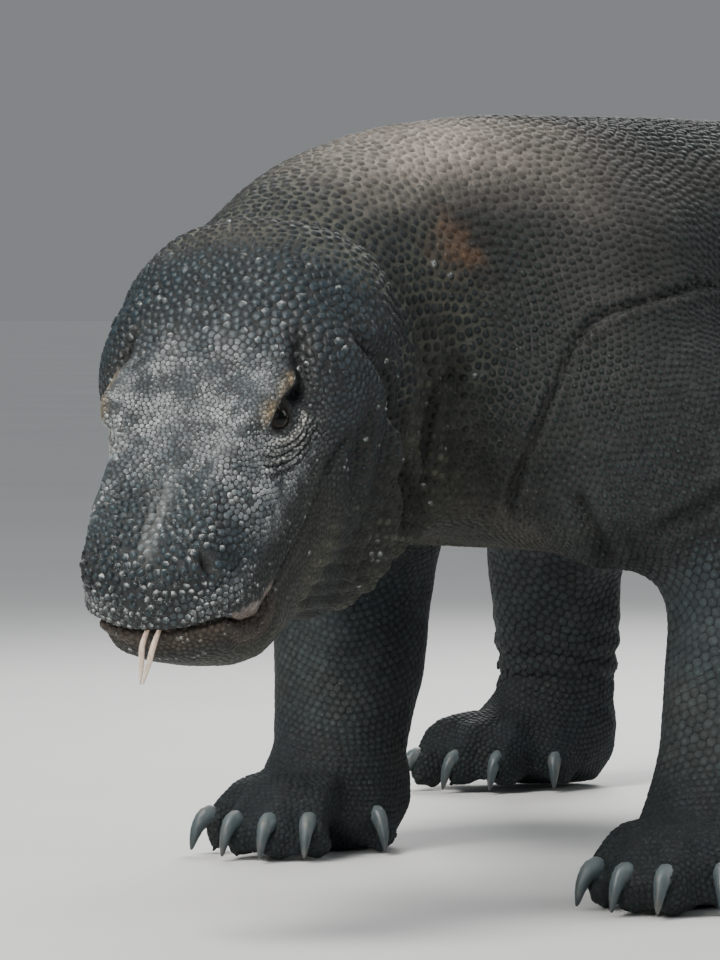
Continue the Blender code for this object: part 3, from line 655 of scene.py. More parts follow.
def sculpt_head(co, face, shares):
    """Lips, nostrils, brows and folds as a push along the skin's normal, with masks."""
    back, _, up = head_coords(co)
    m = mirrored(co)
    push = np.zeros(len(co))
    near = (face > 0.02).astype(float)
    masks = {}
    sculpt_lips(back, up, face, push, masks)
    sculpt_nose(m, back, up, near, push, masks)
    sculpt_brow(m, near, push, masks)
    sculpt_lids(co, near, push, masks)
    sculpt_folds(co, push, masks)
    push += crease(m, CHEEK_GROOVE, 0.0024, 0.0034, 0.0006)
    throat = of(shares, "jaw", "neck") * ramp(-0.040, -0.066, up) \
        * ramp(0.080, 0.105, back) * ramp(0.30, 0.22, back)
    wave = co[:, 2] + 0.007 * clouds(co, 0.045, 5) + 0.001 * clouds(co, 0.012, 6)
    crest = np.sin(wave * 2 * math.pi / THROAT_FINE)
    push += (0.0009 * crest + 0.0005 * np.sin(wave * 2 * math.pi / THROAT_BROAD)) * throat
    masks["throat"] = held(throat * 1.4)
    masks["crest"] = held(crest) * masks["throat"] * ramp(0.35, 0.6, clouds(co, 0.015, 8))
    return push, masks


EYE_LONG, EYE_TALL = 0.0070, 0.0054
LID_THICK = 0.0012


def eye_axes(side):
    out = unit(LEFT * SIDES[side] * 0.80 - BACK * 0.42 + UP * 0.38)
    along = unit(BACK - out * (BACK @ out))
    return out, along, np.cross(out, along) * (1.0 if np.cross(out, along) @ UP > 0 else -1.0)


def sculpt_eye(co, side):
    """Opens the lids over the eyeball and lets their rims hug it."""
    out, along, tall = eye_axes(side)
    off = co - EYES[side]
    a, b, c = off @ along, off @ tall, off @ out
    slant = b + 0.10 * a
    half = np.where(slant > 0, EYE_TALL * 0.92, EYE_TALL)
    ring = np.sqrt((a / EYE_LONG) ** 2 + (slant / half) ** 2)
    front = (c > -0.004) & (ring < 3.0) & (length(off) < 0.030)
    snap = front & (ring > 0.80) & (ring < 1.14)
    factor = np.where(snap, 1.0 / np.maximum(ring, 1e-6), 1.0)
    co = co + (a * (factor - 1))[:, None] * along + (b * (factor - 1))[:, None] * tall
    off = co - EYES[side]
    size = length(off)
    ring = np.where(snap, 1.0, ring)
    lid = EYE_SIZE + LID_THICK + 0.0010 * bell(ring - 1.20, 0.14)
    inside = front & (ring < 0.99)
    co[inside] = EYES[side] + unit(off[inside]) * (EYE_SIZE * 0.62)
    rim = front & (ring >= 0.99) & (ring <= 1.06)
    co[rim] = EYES[side] + unit(off[rim]) * (EYE_SIZE + 0.0004)
    hug = front & (ring > 1.06)
    want = np.maximum(size, lid)
    want = size + (want - size) * ramp(2.2, 1.5, ring)
    sunk = lid + 0.0035 * np.maximum(ring - 1.3, 0)
    want = np.where(size > sunk, size + (sunk - size) * ramp(1.75, 1.1, ring) * 0.7, want)
    co[hug] = EYES[side] + unit(off[hug]) * want[hug, None]
    return co, front * ramp(1.14, 1.02, ring), front * bell(ring - 1.30, 0.22)


SHOULDER_FOLD = ((-0.016, 0.085, 0.082), (-0.012, 0.023, 0.090), (-0.0105, -0.025, 0.082),
                 (-0.0265, -0.063, 0.069), (-0.0345, -0.077, 0.044), (-0.0445, -0.081, 0.018),
                 (-0.0695, -0.075, -0.019), (-0.080, -0.060, -0.045))
ARMPIT_FOLD = ((-0.030, -0.078, -0.020), (-0.0225, -0.067, -0.039), (-0.0255, -0.039, -0.061))
ELBOW_FOLD = ((0.050, -0.030, -0.010), (0.040, -0.050, -0.030), (0.010, -0.058, -0.050))


ARM_FOLDS = ((SHOULDER_FOLD, 0.0046, 0.0024, 0.0018), (ARMPIT_FOLD, 0.0060, 0.0050, 0.0020),
             (ELBOW_FOLD, 0.0030, 0.0040, 0.0015))   # line, depth, width, roll


def shoulder_folds(co, shares, masks):
    """Loose folds ringing the arm roots with painted shade in them, wrinkles over the ankles, soft
    folds under the neck.
    """
    push = np.zeros(len(co))
    for side, sign in SIDES.items():
        turn = np.array((sign, 1.0, 1.0))
        middle = box_middle("upper_arm_" + side)
        near = co[length(co - middle) < 0.20]
        for fold, depth, width, roll in ARM_FOLDS:
            line = snapped(middle + np.array(fold) * turn, near)
            push += crease(co, line, depth, width, roll, 0.16)
            dist, along = line_offset(co, line)
            # painted shade in the arm-root folds
            raise_mask(masks, "fold_shade", 0.7 * bell(dist, width * 0.85)
                       * ramp(0, 0.1, along) * ramp(1.0, 0.9, along))
        high = np.array(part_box("hand_" + side)[1])
        wave = co[:, 2] * 2 * math.pi
        push += 0.0009 * np.sin(wave / 0.0160 + 5 * clouds(co, 0.03, 6)) \
            * of(shares, "shank") * bell(co[:, 2] - high[2] - 0.008, 0.024)
    neck = of(shares, "neck") * ramp(0.330, 0.262, co[:, 2])
    fold = np.sin((co @ (BACK * 0.75 + np.array((0.2, 0.55, -0.25)))) * 2 * math.pi / 0.030
                  + 2.6 * clouds(co, 0.05, 12))
    push += 0.0026 * fold * neck
    return push


def finer(me, chosen):
    """Splits every face whose middle is chosen into four."""
    bm = bmesh.new()
    bm.from_mesh(me)
    middles = np.array([f.calc_center_median() for f in bm.faces])
    picked = chosen(middles)
    edges = {e for f, yes in zip(bm.faces, picked) if yes for e in f.edges}
    bmesh.ops.subdivide_edges(bm, edges=list(edges), cuts=1, use_grid_fill=True)
    bm.to_mesh(me)
    bm.free()
    return me


def get_shares(me):
    return np.stack([get_number(me, "share_" + group) for group in GROUPS], 1)


def near_nodes(points, names, margin):
    """Points inside the boxes of those nodes, grown by a margin."""
    hit = np.zeros(len(points), bool)
    for name in names:
        low, high = (np.array(c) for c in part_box(name))
        hit |= np.all((points > low - margin) & (points < high + margin), axis=1)
    return hit


def set_points(me, co):
    write(me.vertices, "co", co)
    me.update()


def tail_drawn_out(co):
    """Stretches the last of the tail, which smoothing shortens, to its full length."""
    tip = co[np.argmax(co[:, 1])]
    away = length(co - tip)
    before = co[(away > 0.05) & (away < 0.07)].mean(0)
    run = (tip - before) / (tip - before)[1] * np.array((1.0, 1.0, 0.0))
    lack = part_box("tail_4")[1][1] - 0.001 - tip[1]
    return co + (ramp(0.11, 0.0, away) ** 1.5)[:, None] * lack * run


def coarse_skin():
    """Melted flesh, smoothed and drawn in by the coat's depth, with its fields."""
    me = biggest_island(melted(flesh_block(), SKIN_VOXEL))
    co, tri = mesh_arrays(me)
    edges = mesh_edges(me)
    net = Net(len(co), edges)
    tree, owner = flesh_tree()
    nodes = nodes_of(co, tree, owner)
    shares = group_shares(nodes, net)
    low, high = (np.array(c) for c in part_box("tail_4"))
    tip = length(co - np.array((high[0], high[1], low[2])))
    rate = EASE * (shares @ np.array(SMOOTHING) * (0.01 + 0.99 * ramp(0.06, 0.30, tip)))[:, None]
    soft = net.eased(co, rate, EASE_TIMES)
    co = soft + net.eased(co - soft, rate, EASE_TIMES)
    co = tail_drawn_out(co)
    depth = shares @ np.array(COAT_DEPTH) + SEAM_FILL * 0.8
    co = co - point_normals(co, tri) * depth[:, None]
    quads = np.array([p.vertices[:] for p in me.polygons if len(p.vertices) == 4])
    pitch = net.eased(wanted_pitch(co, shares), EASE, 16)
    row = net.eased(rows_from_snout(co, edges, quads, pitch), EASE, 12)
    set_points(me, co)
    put_number(me, "row", row)
    put_number(me, "pitch", pitch)
    for k, group in enumerate(GROUPS):
        put_number(me, "share_" + group, shares[:, k])
    return me, (tree, owner)


def in_face(points, reach):
    back, _, up = head_coords(points)
    return near_nodes(points, ("head", "lower_jaw"), 0.004) & (back < reach) & (up > -0.095)


def at_folds(points):
    """Neck skin round the jowl and neck folds, on both sides, and the throat between."""
    back, left, up = head_coords(points)
    flanks = (back > 0.165) & (back < 0.285) & (up < 0.050) & (np.abs(left) > 0.030)
    return (up > -0.165) & (flanks | ((up < -0.035) & (back > 0.080) & (back < 0.240)))


def sculpted_skin():
    """The whole skin: refined on head and feet, then sculpted."""
    me, flesh = coarse_skin()
    me = finer(me, lambda p: in_face(p, 0.215) | at_folds(p) | near_nodes(p, PAWS, 0.002))
    me = finer(me, lambda p: in_face(p, 0.165))
    co, tri = mesh_arrays(me)
    net = Net(len(co), mesh_edges(me))
    shares = get_shares(me)
    face = of(shares, "head", "jaw")
    co = net.eased(co, 0.5 * held(face + of(shares, "paw"))[:, None], 3)
    normal = point_normals(co, tri)
    push, masks = sculpt_head(co, face, shares)
    push += shoulder_folds(co, shares, masks)
    push += (clouds(co, 0.045, 21) - 0.5) * 0.0022 * (1 - face * 0.7)
    push += (clouds(co, 0.016, 22) - 0.5) * 0.0009 * (1 - face * 0.4)
    co = co + normal * push[:, None]
    co = net.eased(co, 0.25 * np.ones((len(co), 1)), 1)
    co = net.eased(co, 0.4 * (at_folds(co) & ~in_face(co, 0.165))[:, None], 2)
    for side in SIDES:
        co, hole, rim = sculpt_eye(co, side)
        raise_mask(masks, "eye", hole)
        raise_mask(masks, "lid", rim)
    co[:, 2] = np.maximum(co[:, 2], FLOOR_LEVEL)
    set_points(me, co)
    me.shade_smooth()
    return me, co, tri, shares, masks, flesh


# ---- markings with painted shade and highlight, shared by skin and scales -----------------
def markings(points, normal, shares, masks):
    """Colour of the scales and of the skin between them at those points, painted shade and
    highlight included.
    """
    top, gap = shares @ np.array(SCALE_HIDE), shares @ np.array(GAP_HIDE)

    def paint(top_to, gap_to, top_share, gap_share=None):
        nonlocal top, gap
        top = mix(top, np.array(top_to), top_share)
        gap = mix(gap, np.array(gap_to), top_share if gap_share is None else gap_share)

    _, _, up = head_coords(points)
    head, face = of(shares, "head"), of(shares, "head", "jaw")
    patchy = ramp(0.36, 0.66, clouds(points, 0.0085, 61) * 0.6 + clouds(points, 0.030, 62) * 0.4)
    gap = mix(gap * 0.34, gap * 1.12, patchy)
    low = (1 - face) * of(shares, "trunk", "tail", "neck") * ramp(-0.35, -0.85, normal[:, 2])
    paint(BELLY, BELLY * 0.8, low * 0.6, low * 0.8)
    throat = masks["throat"] * 0.75 + of(shares, "jaw") * 0.45 * ramp(-0.02, -0.04, up)
    paint(THROAT, THROAT * 0.45, held(throat))
    top = mix(top, THROAT * 2.2, masks["crest"] * 0.8)
    # painted shade on cheek and jowl
    jowl_shade = jowl_shade_share(points, shares)
    paint((0.010, 0.015, 0.018), gap * 0.30, jowl_shade * 0.75, jowl_shade)
    # painted shade in the temple hollow behind the eye
    temple_shade = bell(length((mirrored(points) - TEMPLE_SHADE) / TEMPLE_SHADE_SIZE), 1.0) * face
    paint(top * 0.35, gap * 0.25, temple_shade)
    shade = 0.74 + 0.52 * clouds(points, 0.055, 31) + 0.26 * (clouds(points, 0.012, 32) - 0.5)
    warm = clouds(points, 0.080, 33)[:, None]
    tint = 1.0 + (warm - 0.5) * np.array((0.34, 0.08, -0.20)) * (1 - face * 0.6)[:, None]
    top, gap = top * shade[:, None] * tint, gap * shade[:, None] * tint
    upper = ramp(0.35, 0.85, normal[:, 2]) \
        * held(of(shares, "trunk", "neck") + of(shares, "tail") * 0.4)
    from_neck = points - box_middle("neck")
    sunlit_saddle = length((from_neck - SUNLIT_SADDLE) / SUNLIT_SADDLE_SIZE)
    # dust on the upper surfaces and a painted pool of sunlight over the shoulders
    dust_and_sunlight = upper * (0.07 * ramp(0.30, 0.62, clouds(points, 0.070, 34))
                     + 0.95 * bell(sunlit_saddle + 0.5 * (clouds(points, 0.030, 36) - 0.5), 0.85))
    paint(DUST_AND_SUNLIGHT * 1.5, DUST_AND_SUNLIGHT * 2.4, dust_and_sunlight * 0.85, dust_and_sunlight)
    stain = bell(length(from_neck - STAIN)
                 + 0.030 * (clouds(points, 0.009, 35) - 0.5), 0.0130) * 0.45
    paint(RUST, RUST, stain * 0.6, stain)
    paint((0.36, 0.26, 0.13), (0.28, 0.20, 0.11), masks["brow"] * 0.9)
    # pale rubbed patches, with painted highlight on forehead, brows and cheeks
    wear_and_highlight = face_wear_and_highlight(points, head)
    paint((0.210, 0.228, 0.232), PALE * 0.16, wear_and_highlight * 0.75, wear_and_highlight * 0.6)
    # painted shade in the hollows, wrinkle troughs and folds
    paint(top * 0.22, gap * 0.16, held(masks["hollow_shade"] + masks["fold_shade"] * 0.9))
    paint((0.030, 0.028, 0.026), (0.030, 0.027, 0.024), masks["lid"] * 0.8, masks["lid"] * 0.9)
    # pale lid ridge and wrinkle crests: partly pale skin, partly painted highlight
    ridge = masks["ridge"] * (0.20 + 0.85 * ramp(0.3, 0.65, clouds(points, 0.005, 37)))
    paint((0.46, 0.45, 0.41), (0.20, 0.19, 0.17), ridge)
    paint((0.155, 0.175, 0.178), PALE * 0.5, masks["strip"] * 0.7)
    # painted highlight along the jowl's rim
    paint((0.24, 0.23, 0.20), PALE * 0.6, masks["hem"] * 0.75)
    paint(LIP_BROWN, LIP_BROWN * 0.6, masks["lip"] * 0.75)
    return held(top), held(gap)


def jowl_shade_share(points, shares):
    """Painted shade on cheek and jowl, from behind the eye to the jowl's rim."""
    back, _, up = head_coords(points)
    face = of(shares, "head", "jaw")
    rear = of(shares, "neck") * ramp(0.205, 0.185, back) * ramp(-0.110, -0.080, up)
    return held(face + rear) * ramp(0.118, 0.140, back) * ramp(0.042, 0.022, up)


def face_wear_and_highlight(points, head):
    """Dusty, rubbed patches that also carry painted highlight: between the eyes, on the cheeks and
    along the snout's sides.
    """
    m = mirrored(points)
    rough = 0.15 + 1.05 * ramp(0.28, 0.66, clouds(points, 0.010, 44))
    wear_and_highlight = 0.0
    for centre, size, amount in (((0.105, 0.022, 0.045), (0.030, 0.020, 0.030), 1.0),
                                 ((0.135, 0.010, 0.050), (0.022, 0.026, 0.030), 0.45),
                                 ((0.100, 0.034, 0.041), (0.018, 0.010, 0.012), 0.9),
                                 ((0.078, 0.042, 0.014), (0.022, 0.020, 0.026), 0.85),
                                 ((0.064, 0.033, 0.027), (0.016, 0.012, 0.014), 0.6),
                                 ((0.105, 0.051, 0.005), (0.020, 0.012, 0.016), 1.1),
                                 ((0.085, 0.044, -0.003), (0.018, 0.012, 0.012), 0.6),
                                 ((0.020, 0.034, 0.006), (0.022, 0.020, 0.006), 0.5)):
        off = (m - np.array(centre)) / np.array(size)
        wear_and_highlight = wear_and_highlight + amount * np.exp(-(off ** 2).sum(1))
    return held(wear_and_highlight * rough) * head


def speckles(points, shares):
    """Chance of whitish arcs on a scale, which are partly painted highlight: forehead, brows,
    cheeks and lips most.
    """
    back, _, up = head_coords(points)
    head = of(shares, "head")
    chance = 0.24 * head + 0.08 * of(shares, "jaw") * ramp(-0.05, -0.02, up)
    chance -= 0.16 * head * ramp(0.118, 0.140, back) * ramp(0.042, 0.022, up)
    chance -= 0.12 * head * ramp(0.120, 0.150, back)
    chance += 0.46 * face_wear_and_highlight(points, head)
    lip = up - lip_line(back)
    chance += 0.42 * head * bell(lip - 0.0090, 0.0080) * ramp(0.090, 0.055, back)
    chance += 0.10 * head * ramp(0.100, 0.080, back)
    chance *= 0.15 + 1.7 * ramp(0.25, 0.75, clouds(points, 0.010, 41))
    body = 0.13 * of(shares, "neck") * ramp(0.45, 0.75, clouds(points, 0.020, 42))
    return np.clip(chance + body, 0, 0.85)


# ---- scales -------------------------------------------------------------------------------
def row_lines(co, tri, row):
    """Chains of places where whole-numbered rows cross the skin."""
    f = row[tri] + 1e-7
    low = np.floor(f.min(1)).astype(int) + 1
    high = np.floor(f.max(1)).astype(int)
    found, count = [], len(co)
    for extra in range(int(np.clip((high - low).max() + 1, 0, 6))):
        sel = np.where(low + extra <= high)[0]
        if not len(sel):
            break
        level = low[sel] + extra
        ff, tt = f[sel], tri[sel]
        above = ff >= level[:, None]
        keys = np.full((len(sel), 3), -1, dtype=np.int64)
        spots = np.zeros((len(sel), 3, 3))
        for e, (i, j) in enumerate(((0, 1), (1, 2), (2, 0))):
            cross = above[:, i] != above[:, j]
            t = (level - ff[:, i]) / np.where(cross, ff[:, j] - ff[:, i], 1.0)
            spots[:, e] = co[tt[:, i]] + (co[tt[:, j]] - co[tt[:, i]]) * t[:, None]
            a = np.minimum(tt[:, i], tt[:, j]).astype(np.int64)
            b = np.maximum(tt[:, i], tt[:, j]).astype(np.int64)
            keys[cross, e] = ((a * count + b) * 4096 + level)[cross]
        ok = (keys >= 0).sum(1) == 2
        first = np.argmax(keys >= 0, axis=1)
        last = 2 - np.argmax(keys[:, ::-1] >= 0, axis=1)
        pick = np.arange(len(sel))
        found.append((keys[pick, first][ok], keys[pick, last][ok],
                      spots[pick, first][ok], spots[pick, last][ok], level[ok]))
    key_a, key_b, spot_a, spot_b, levels = (np.concatenate(x) for x in zip(*found))
    _, where, inverse = np.unique(np.concatenate((key_a, key_b)), return_index=True,
                                  return_inverse=True)
    spots = np.concatenate((spot_a, spot_b))[where]
    level = np.concatenate((levels, levels))[where]
    n = len(key_a)
    near = [[] for _ in range(len(spots))]
    for i, j in zip(inverse[:n].tolist(), inverse[n:].tolist()):
        near[i].append(j)
        near[j].append(i)
    return chained(near), spots, level


def chained(near):
    """Walks the links into lists of points; closed loops start anywhere."""
    used = [False] * len(near)
    lines = []
    ends = [i for i, n in enumerate(near) if len(n) == 1]
    for start in ends + list(range(len(near))):
        if used[start]:
            continue
        line, at = [start], start
        used[start] = True
        while True:
            step = next((j for j in near[at] if not used[j]), None)
            if step is None:
                break
            used[step] = True
            line.append(step)
            at = step
        closed = len(line) > 2 and start in near[at]
        lines.append((line, closed))
    return lines


def seed_scales(surface):
    """Roots of the scales along the rows: place, row number and share along the row."""
    lines, spots, level = row_lines(surface.co, surface.tri, surface.fields["row"])
    surface.drop(spots)
    size = surface.value("pitch")
    found = []
    for line, closed in lines:
        line = np.array(line)
        pts = spots[line]
        if closed:
            turn = int(np.argmin(pts[:, 2]))
            line = np.roll(line, -turn)
            pts = spots[line]
            if pts[min(3, len(pts) - 1), 0] < pts[0, 0]:
                line = np.roll(line[::-1], 1)
                pts = spots[line]
            pts = np.concatenate((pts, pts[:1]))
            line = np.concatenate((line, line[:1]))
        if len(pts) < 2:
            continue
        step = length(np.diff(pts, axis=0))
        local = (size[line][:-1] + size[line][1:]) / 2
        run = np.concatenate(((0,), np.cumsum(step / local)))
        count = int(round(run[-1]))
        if count < 1:
            if run[-1] < 0.3:
                continue
            count = 1
        odd = 0.5 * (int(level[line[0]]) % 2)
        want = (np.arange(count) + 0.25 + odd) / count % 1.0 * run[-1]
        place = np.stack([np.interp(want, run, pts[:, k]) for k in range(3)], 1)
        found.append((place, np.full(count, level[line[0]]), want / run[-1]))
    return [np.concatenate(x) for x in zip(*found)]


def neighbours(points, count):
    tree = KDTree(len(points))
    for i, p in enumerate(points.tolist()):
        tree.insert(p, i)
    tree.balance()
    found = [[hit[1] for hit in tree.find_n(p, count + 1)] for p in points.tolist()]
    return np.array(found)[:, 1:]


class Surface:
    """The sculpted skin as something to ask for the nearest place and its values there."""

    def __init__(self, co, tri, **fields):
        self.co, self.tri, self.fields = co, tri, fields
        self.tree = BVHTree.FromPolygons(co.tolist(), tri.tolist(), all_triangles=True)

    def drop(self, points):
        hits = [self.tree.find_nearest(p) for p in points.tolist()]
        place = np.array([h[0] for h in hits])
        face = np.array([h[2] for h in hits])
        a, b, c = corners_of(self.co, self.tri[face])
        ab, ac, ap = b - a, c - a, place - a
        d00, d01, d11 = ((x * y).sum(1) for x, y in ((ab, ab), (ab, ac), (ac, ac)))
        d20, d21 = (ap * ab).sum(1), (ap * ac).sum(1)
        denom = np.maximum(d00 * d11 - d01 * d01, 1e-18)
        v = held((d11 * d20 - d01 * d21) / denom)
        w = held((d00 * d21 - d01 * d20) / denom)
        self.face, self.weights = face, np.stack((1 - v - w, v, w), 1)
        return place

    def value(self, name):
        corner = self.fields[name][self.tri[self.face]]
        if corner.ndim == 2:
            return (corner * self.weights).sum(1)
        return (corner * self.weights[:, :, None]).sum(1)

    def values(self):
        return {name: self.value(name) for name in self.fields}


def relaxed(roots, surface, times):
    """Evens out the roots; on plated limbs and tail they keep to their rows."""
    near = None
    for turn in range(times):
        if turn % 2 == 0:
            near = neighbours(roots, 7)
        size = surface.value("pitch")
        tied = 1.0 - surface.value("shares") @ np.array(LOOSENESS)
        across = unit(surface.value("slope"))
        off = roots[:, None, :] - roots[near]
        dist = length(off)
        crowd = held(1.06 - dist / size[:, None]) / np.maximum(dist, 1e-9)
        move = (off * crowd[:, :, None]).sum(1) * size[:, None] * 0.42
        move -= across * ((move * across).sum(1) * 0.8 * tied)[:, None]
        level = surface.value("row")
        to_row = (np.round(level) - level) * size * 0.866
        move += across * (np.clip(to_row, -0.0015, 0.0015) * 0.5 * tied)[:, None]
        roots = surface.drop(roots + move)
    return roots


def jittered(roots, surface):
    """Nudges the roots off their even spacing, least on the plated limbs and tail."""
    loose = surface.value("shares") @ np.array(LOOSENESS)
    size = (surface.value("pitch") * loose)[:, None]
    lie = unit(surface.value("slope"))
    side = np.cross(unit(surface.value("normal")), lie)
    count = len(roots)
    move = (side * (hashed(count, 71) - 0.5)[:, None] * 1.10
            + lie * (hashed(count, 72) - 0.5)[:, None] * 1.10) * size
    return surface.drop(roots + move)


def row_slope(co, tri, row, net):
    """Direction over the skin in which the rows count up: the lie of the scales."""
    a, b, c = corners_of(co, tri)
    normal = np.cross(b - a, c - a)
    area2 = np.maximum((normal ** 2).sum(1), 1e-20)
    grad = (np.cross(normal, c - b) * row[tri[:, 0], None] + np.cross(normal, a - c)
            * row[tri[:, 1], None] + np.cross(normal, b - a) * row[tri[:, 2], None])
    grad = grad / np.sqrt(area2)[:, None]
    return unit(net.eased(to_points(grad, tri, len(co)), EASE, 6))


def crowded(roots, near, size):
    """Marks roots that stand too close to an earlier one."""
    dist = length(roots[:, None] - roots[near])
    gone = np.zeros(len(roots), bool)
    who, which = np.where(dist < size[:, None] * 0.50)
    for i, j in zip(who.tolist(), near[who, which].tolist()):
        if i < j and not gone[i]:
            gone[j] = True
    return gone


def scale_shapes(d, radii, turn):
    """Domed or flat-topped tiles: sunk rim, shoulder ring and a crown set back."""
    lie, side, normal, root = (d[key][:, None] for key in ("lie", "side", "normal", "root"))
    height, flat, cover = (d[key][:, None, None] for key in ("height", "flat", "cover"))
    rearward = np.cos(turn)[None, :, None]
    ray = lie * rearward + side * np.sin(turn)[None, :, None]
    ring = ray * radii[:, :, None]
    base = root + ring * cover - normal * 0.0004
    shoulder = root + ring * (cover * (0.68 + 0.26 * flat)) \
        + normal * (height * (0.74 + 0.16 * flat)) * (1.0 + 0.22 * rearward)
    crown = root + normal * height + lie * (radii.mean(1) * 0.18)[:, None, None]
    co = np.concatenate((base, shoulder, crown), 1)
    lean = 0.95 - 0.68 * flat
    tilt = np.concatenate((unit(normal * 0.45 + ray * 0.9), unit(normal + ray * lean), normal), 1)
    k = np.arange(CORNERS)
    n = (k + 1) % CORNERS
    faces = np.concatenate((np.stack((k, n, CORNERS + n), 1),
                            np.stack((k, CORNERS + n, CORNERS + k), 1),
                            np.stack((CORNERS + k, CORNERS + n, np.full(CORNERS, 2 * CORNERS)),
                                     1)))
    return co, tilt, faces


def scale_piece(name, co, tilt, faces, roots_uv, local, colours, material):
    """Joins many scales into one mesh with colours and the OFBake map."""
    count, per = co.shape[:2]
    tri = (faces[None] + (np.arange(count) * per)[:, None, None]).reshape(-1, 3)
    me = fast_mesh(name, co.reshape(-1, 3), tri)
    write(me.attributes.new("custom_normal", "FLOAT_VECTOR", "POINT").data, "vector", tilt)
    for key, value in colours.items():
        if value.ndim == 3:
            put_colour(me, key, value.reshape(-1, 3))
        else:
            put_number(me, key, value.ravel())
    uv = (roots_uv[:, None] + local[None] * PATCH).reshape(-1, 2)
    write(me.uv_layers.new(name="OFBake").uv, "vector", uv[tri.ravel()])
    obj = new_object(name, me)
    me.materials.append(material)
    return obj


PIECES = (
    ("head", ("head", "lower_jaw")),
    ("neck", ("neck",)),
    ("trunk_front", ("trunk_front",)),
    ("trunk_middle", ("trunk_middle",)),
    ("pelvis", ("pelvis",)),
    ("tail", ("tail_1", "tail_2", "tail_3", "tail_4")),
    ("arm_L", ("upper_arm_L", "forearm_L")),
    ("arm_R", ("upper_arm_R", "forearm_R")),
    ("hand_L", ("hand_L",)),
    ("hand_R", ("hand_R",)),
    ("leg_L", ("thigh_L", "shank_L")),
    ("leg_R", ("thigh_R", "shank_R")),
    ("foot_L", ("foot_L",)),
    ("foot_R", ("foot_R",)),
)
MOST_SCALES = 9300      # in one piece of the coat
CORNERS = 7             # of a scale's rim
NEAR = 9                # neighbours that bound a scale
SOLE_LEVEL = 0.0022     # no scales under the soles
PATCH = 0.0015          # half-width of a scale's patch on the OFBake map


def relief(roots, size, share, mask):
    """Height of every scale, how flat its top is and how much of its cell it covers."""
    back, _, up = head_coords(roots)
    face = of(share, "head", "jaw")
    plates = held(of(share, "forearm", "shank") + of(share, "tail") * 0.6
                  + of(share, "paw") * 0.6)
    snout = face * ramp(0.075, 0.040, back) * ramp(0.008, 0.022, up)
    part = 0.200 - 0.105 * plates - 0.050 * face + 0.110 * snout - 0.040 * of(share, "neck")
    height = size * part * (0.75 + 0.50 * hashed(len(roots), 6))
    height *= 1.0 - 0.55 * mask["lining"] - 0.5 * mask["gullet"] - 0.6 * mask["patch"]
    height *= 1.0 - 0.15 * mask["throat"]
    height *= 1.0 - 0.35 * held(mask["lid"])
    gap = 0.900 + 0.105 * plates + 0.030 * face - 0.04 * snout - 0.030 * of(share, "neck")
    return height, held(plates + 0.5 * face - 0.4 * snout), gap


def net_share(points, share, dark):
    """Where the scales' rims are as pale as the skin between: neck, nape and shoulders."""
    back, _, up = head_coords(points)
    nape = of(share, "head") * ramp(0.130, 0.180, back) * ramp(0.000, 0.040, up)
    share = of(share, "neck") * ramp(0.200, 0.240, points[:, 2]) \
        + 0.45 * of(share, "trunk") + 0.15 * of(share, "arm") + nape
    share = share * (0.35 + 0.95 * ramp(0.30, 0.70, clouds(points, 0.014, 47)))
    return held(share) * (1 - dark)


def pale_arcs(d, turn):
    """Whitish crescents on the upper edge of some scales: partly pale dry skin, partly painted
    highlight on the edge that faces up.
    """
    part = d["index"]
    # arcs sit on the edge that faces up: pale skin mixed with painted highlight
    upward = np.arctan2(d["side"][:, 2], d["lie"][:, 2])
    aim = upward + (lattice(part, part * 3 + 1, part * 5 + 2, 81) - 0.5) * 2.4
    off = np.abs((turn[None, :] - aim[:, None] + math.pi) % (2 * math.pi) - math.pi)
    arc = np.exp(-(off / 0.80) ** 2)
    middle = np.full((len(part), 1), 0.05)
    return np.concatenate((arc, arc * 0.9, middle), 1) * d["white"][:, None]


def planted(surface):
    """Roots of the scales that stay, with their rows and shares along the row."""
    roots, rows, along = seed_scales(surface)
    roots = relaxed(jittered(surface.drop(roots), surface), surface, 4)
    at = surface.values()
    keep = ~crowded(roots, neighbours(roots, NEAR), at["pitch"])
    keep &= (at["eye"] < 0.10) & (at["patch"] < 0.45) & (at["lining"] < 0.45)
    keep &= ~((roots[:, 2] < SOLE_LEVEL) & (unit(at["normal"])[:, 2] < -0.2))
    return roots[keep], rows[keep], along[keep]


def scale_data(surface):
    """Everything that shapes and colours a scale, as one array per quality."""
    roots, rows, along = planted(surface)
    near = neighbours(roots, NEAR)
    roots = surface.drop(roots)
    at, count = surface.values(), len(roots)
    share, normal, lie = at["shares"], unit(at["normal"]), at["slope"]
    lie = unit(lie - normal * (lie * normal).sum(1)[:, None])
    top, edge = markings(roots, normal, share, at)
    chance = speckles(roots, share)
    span = 0.48 + 0.50 * held(of(share, "head"))
    tone = 1.0 + span * (hashed(count, 5) - 0.5)
    height, flat, cover = relief(roots, at["pitch"], share, at)
    return {
        "index": np.arange(count), "root": roots, "row": rows, "along": along,
        "size": at["pitch"], "off": roots[near] - roots[:, None], "normal": normal, "lie": lie,
        "side": np.cross(normal, lie), "height": height, "flat": flat, "cover": cover,
        "tint": top * tone[:, None], "edge": edge, "fleck": chance,
        "white": (hashed(count, 3) < chance) * (0.45 + 0.55 * hashed(count, 4)),
        "net": net_share(roots, share, jowl_shade_share(roots, share)),
        "gloss": held(of(share, "head") + 0.35 * of(share, "jaw") + 0.30 * of(share, "neck")
                      - 0.45 * at["throat"]),
    }


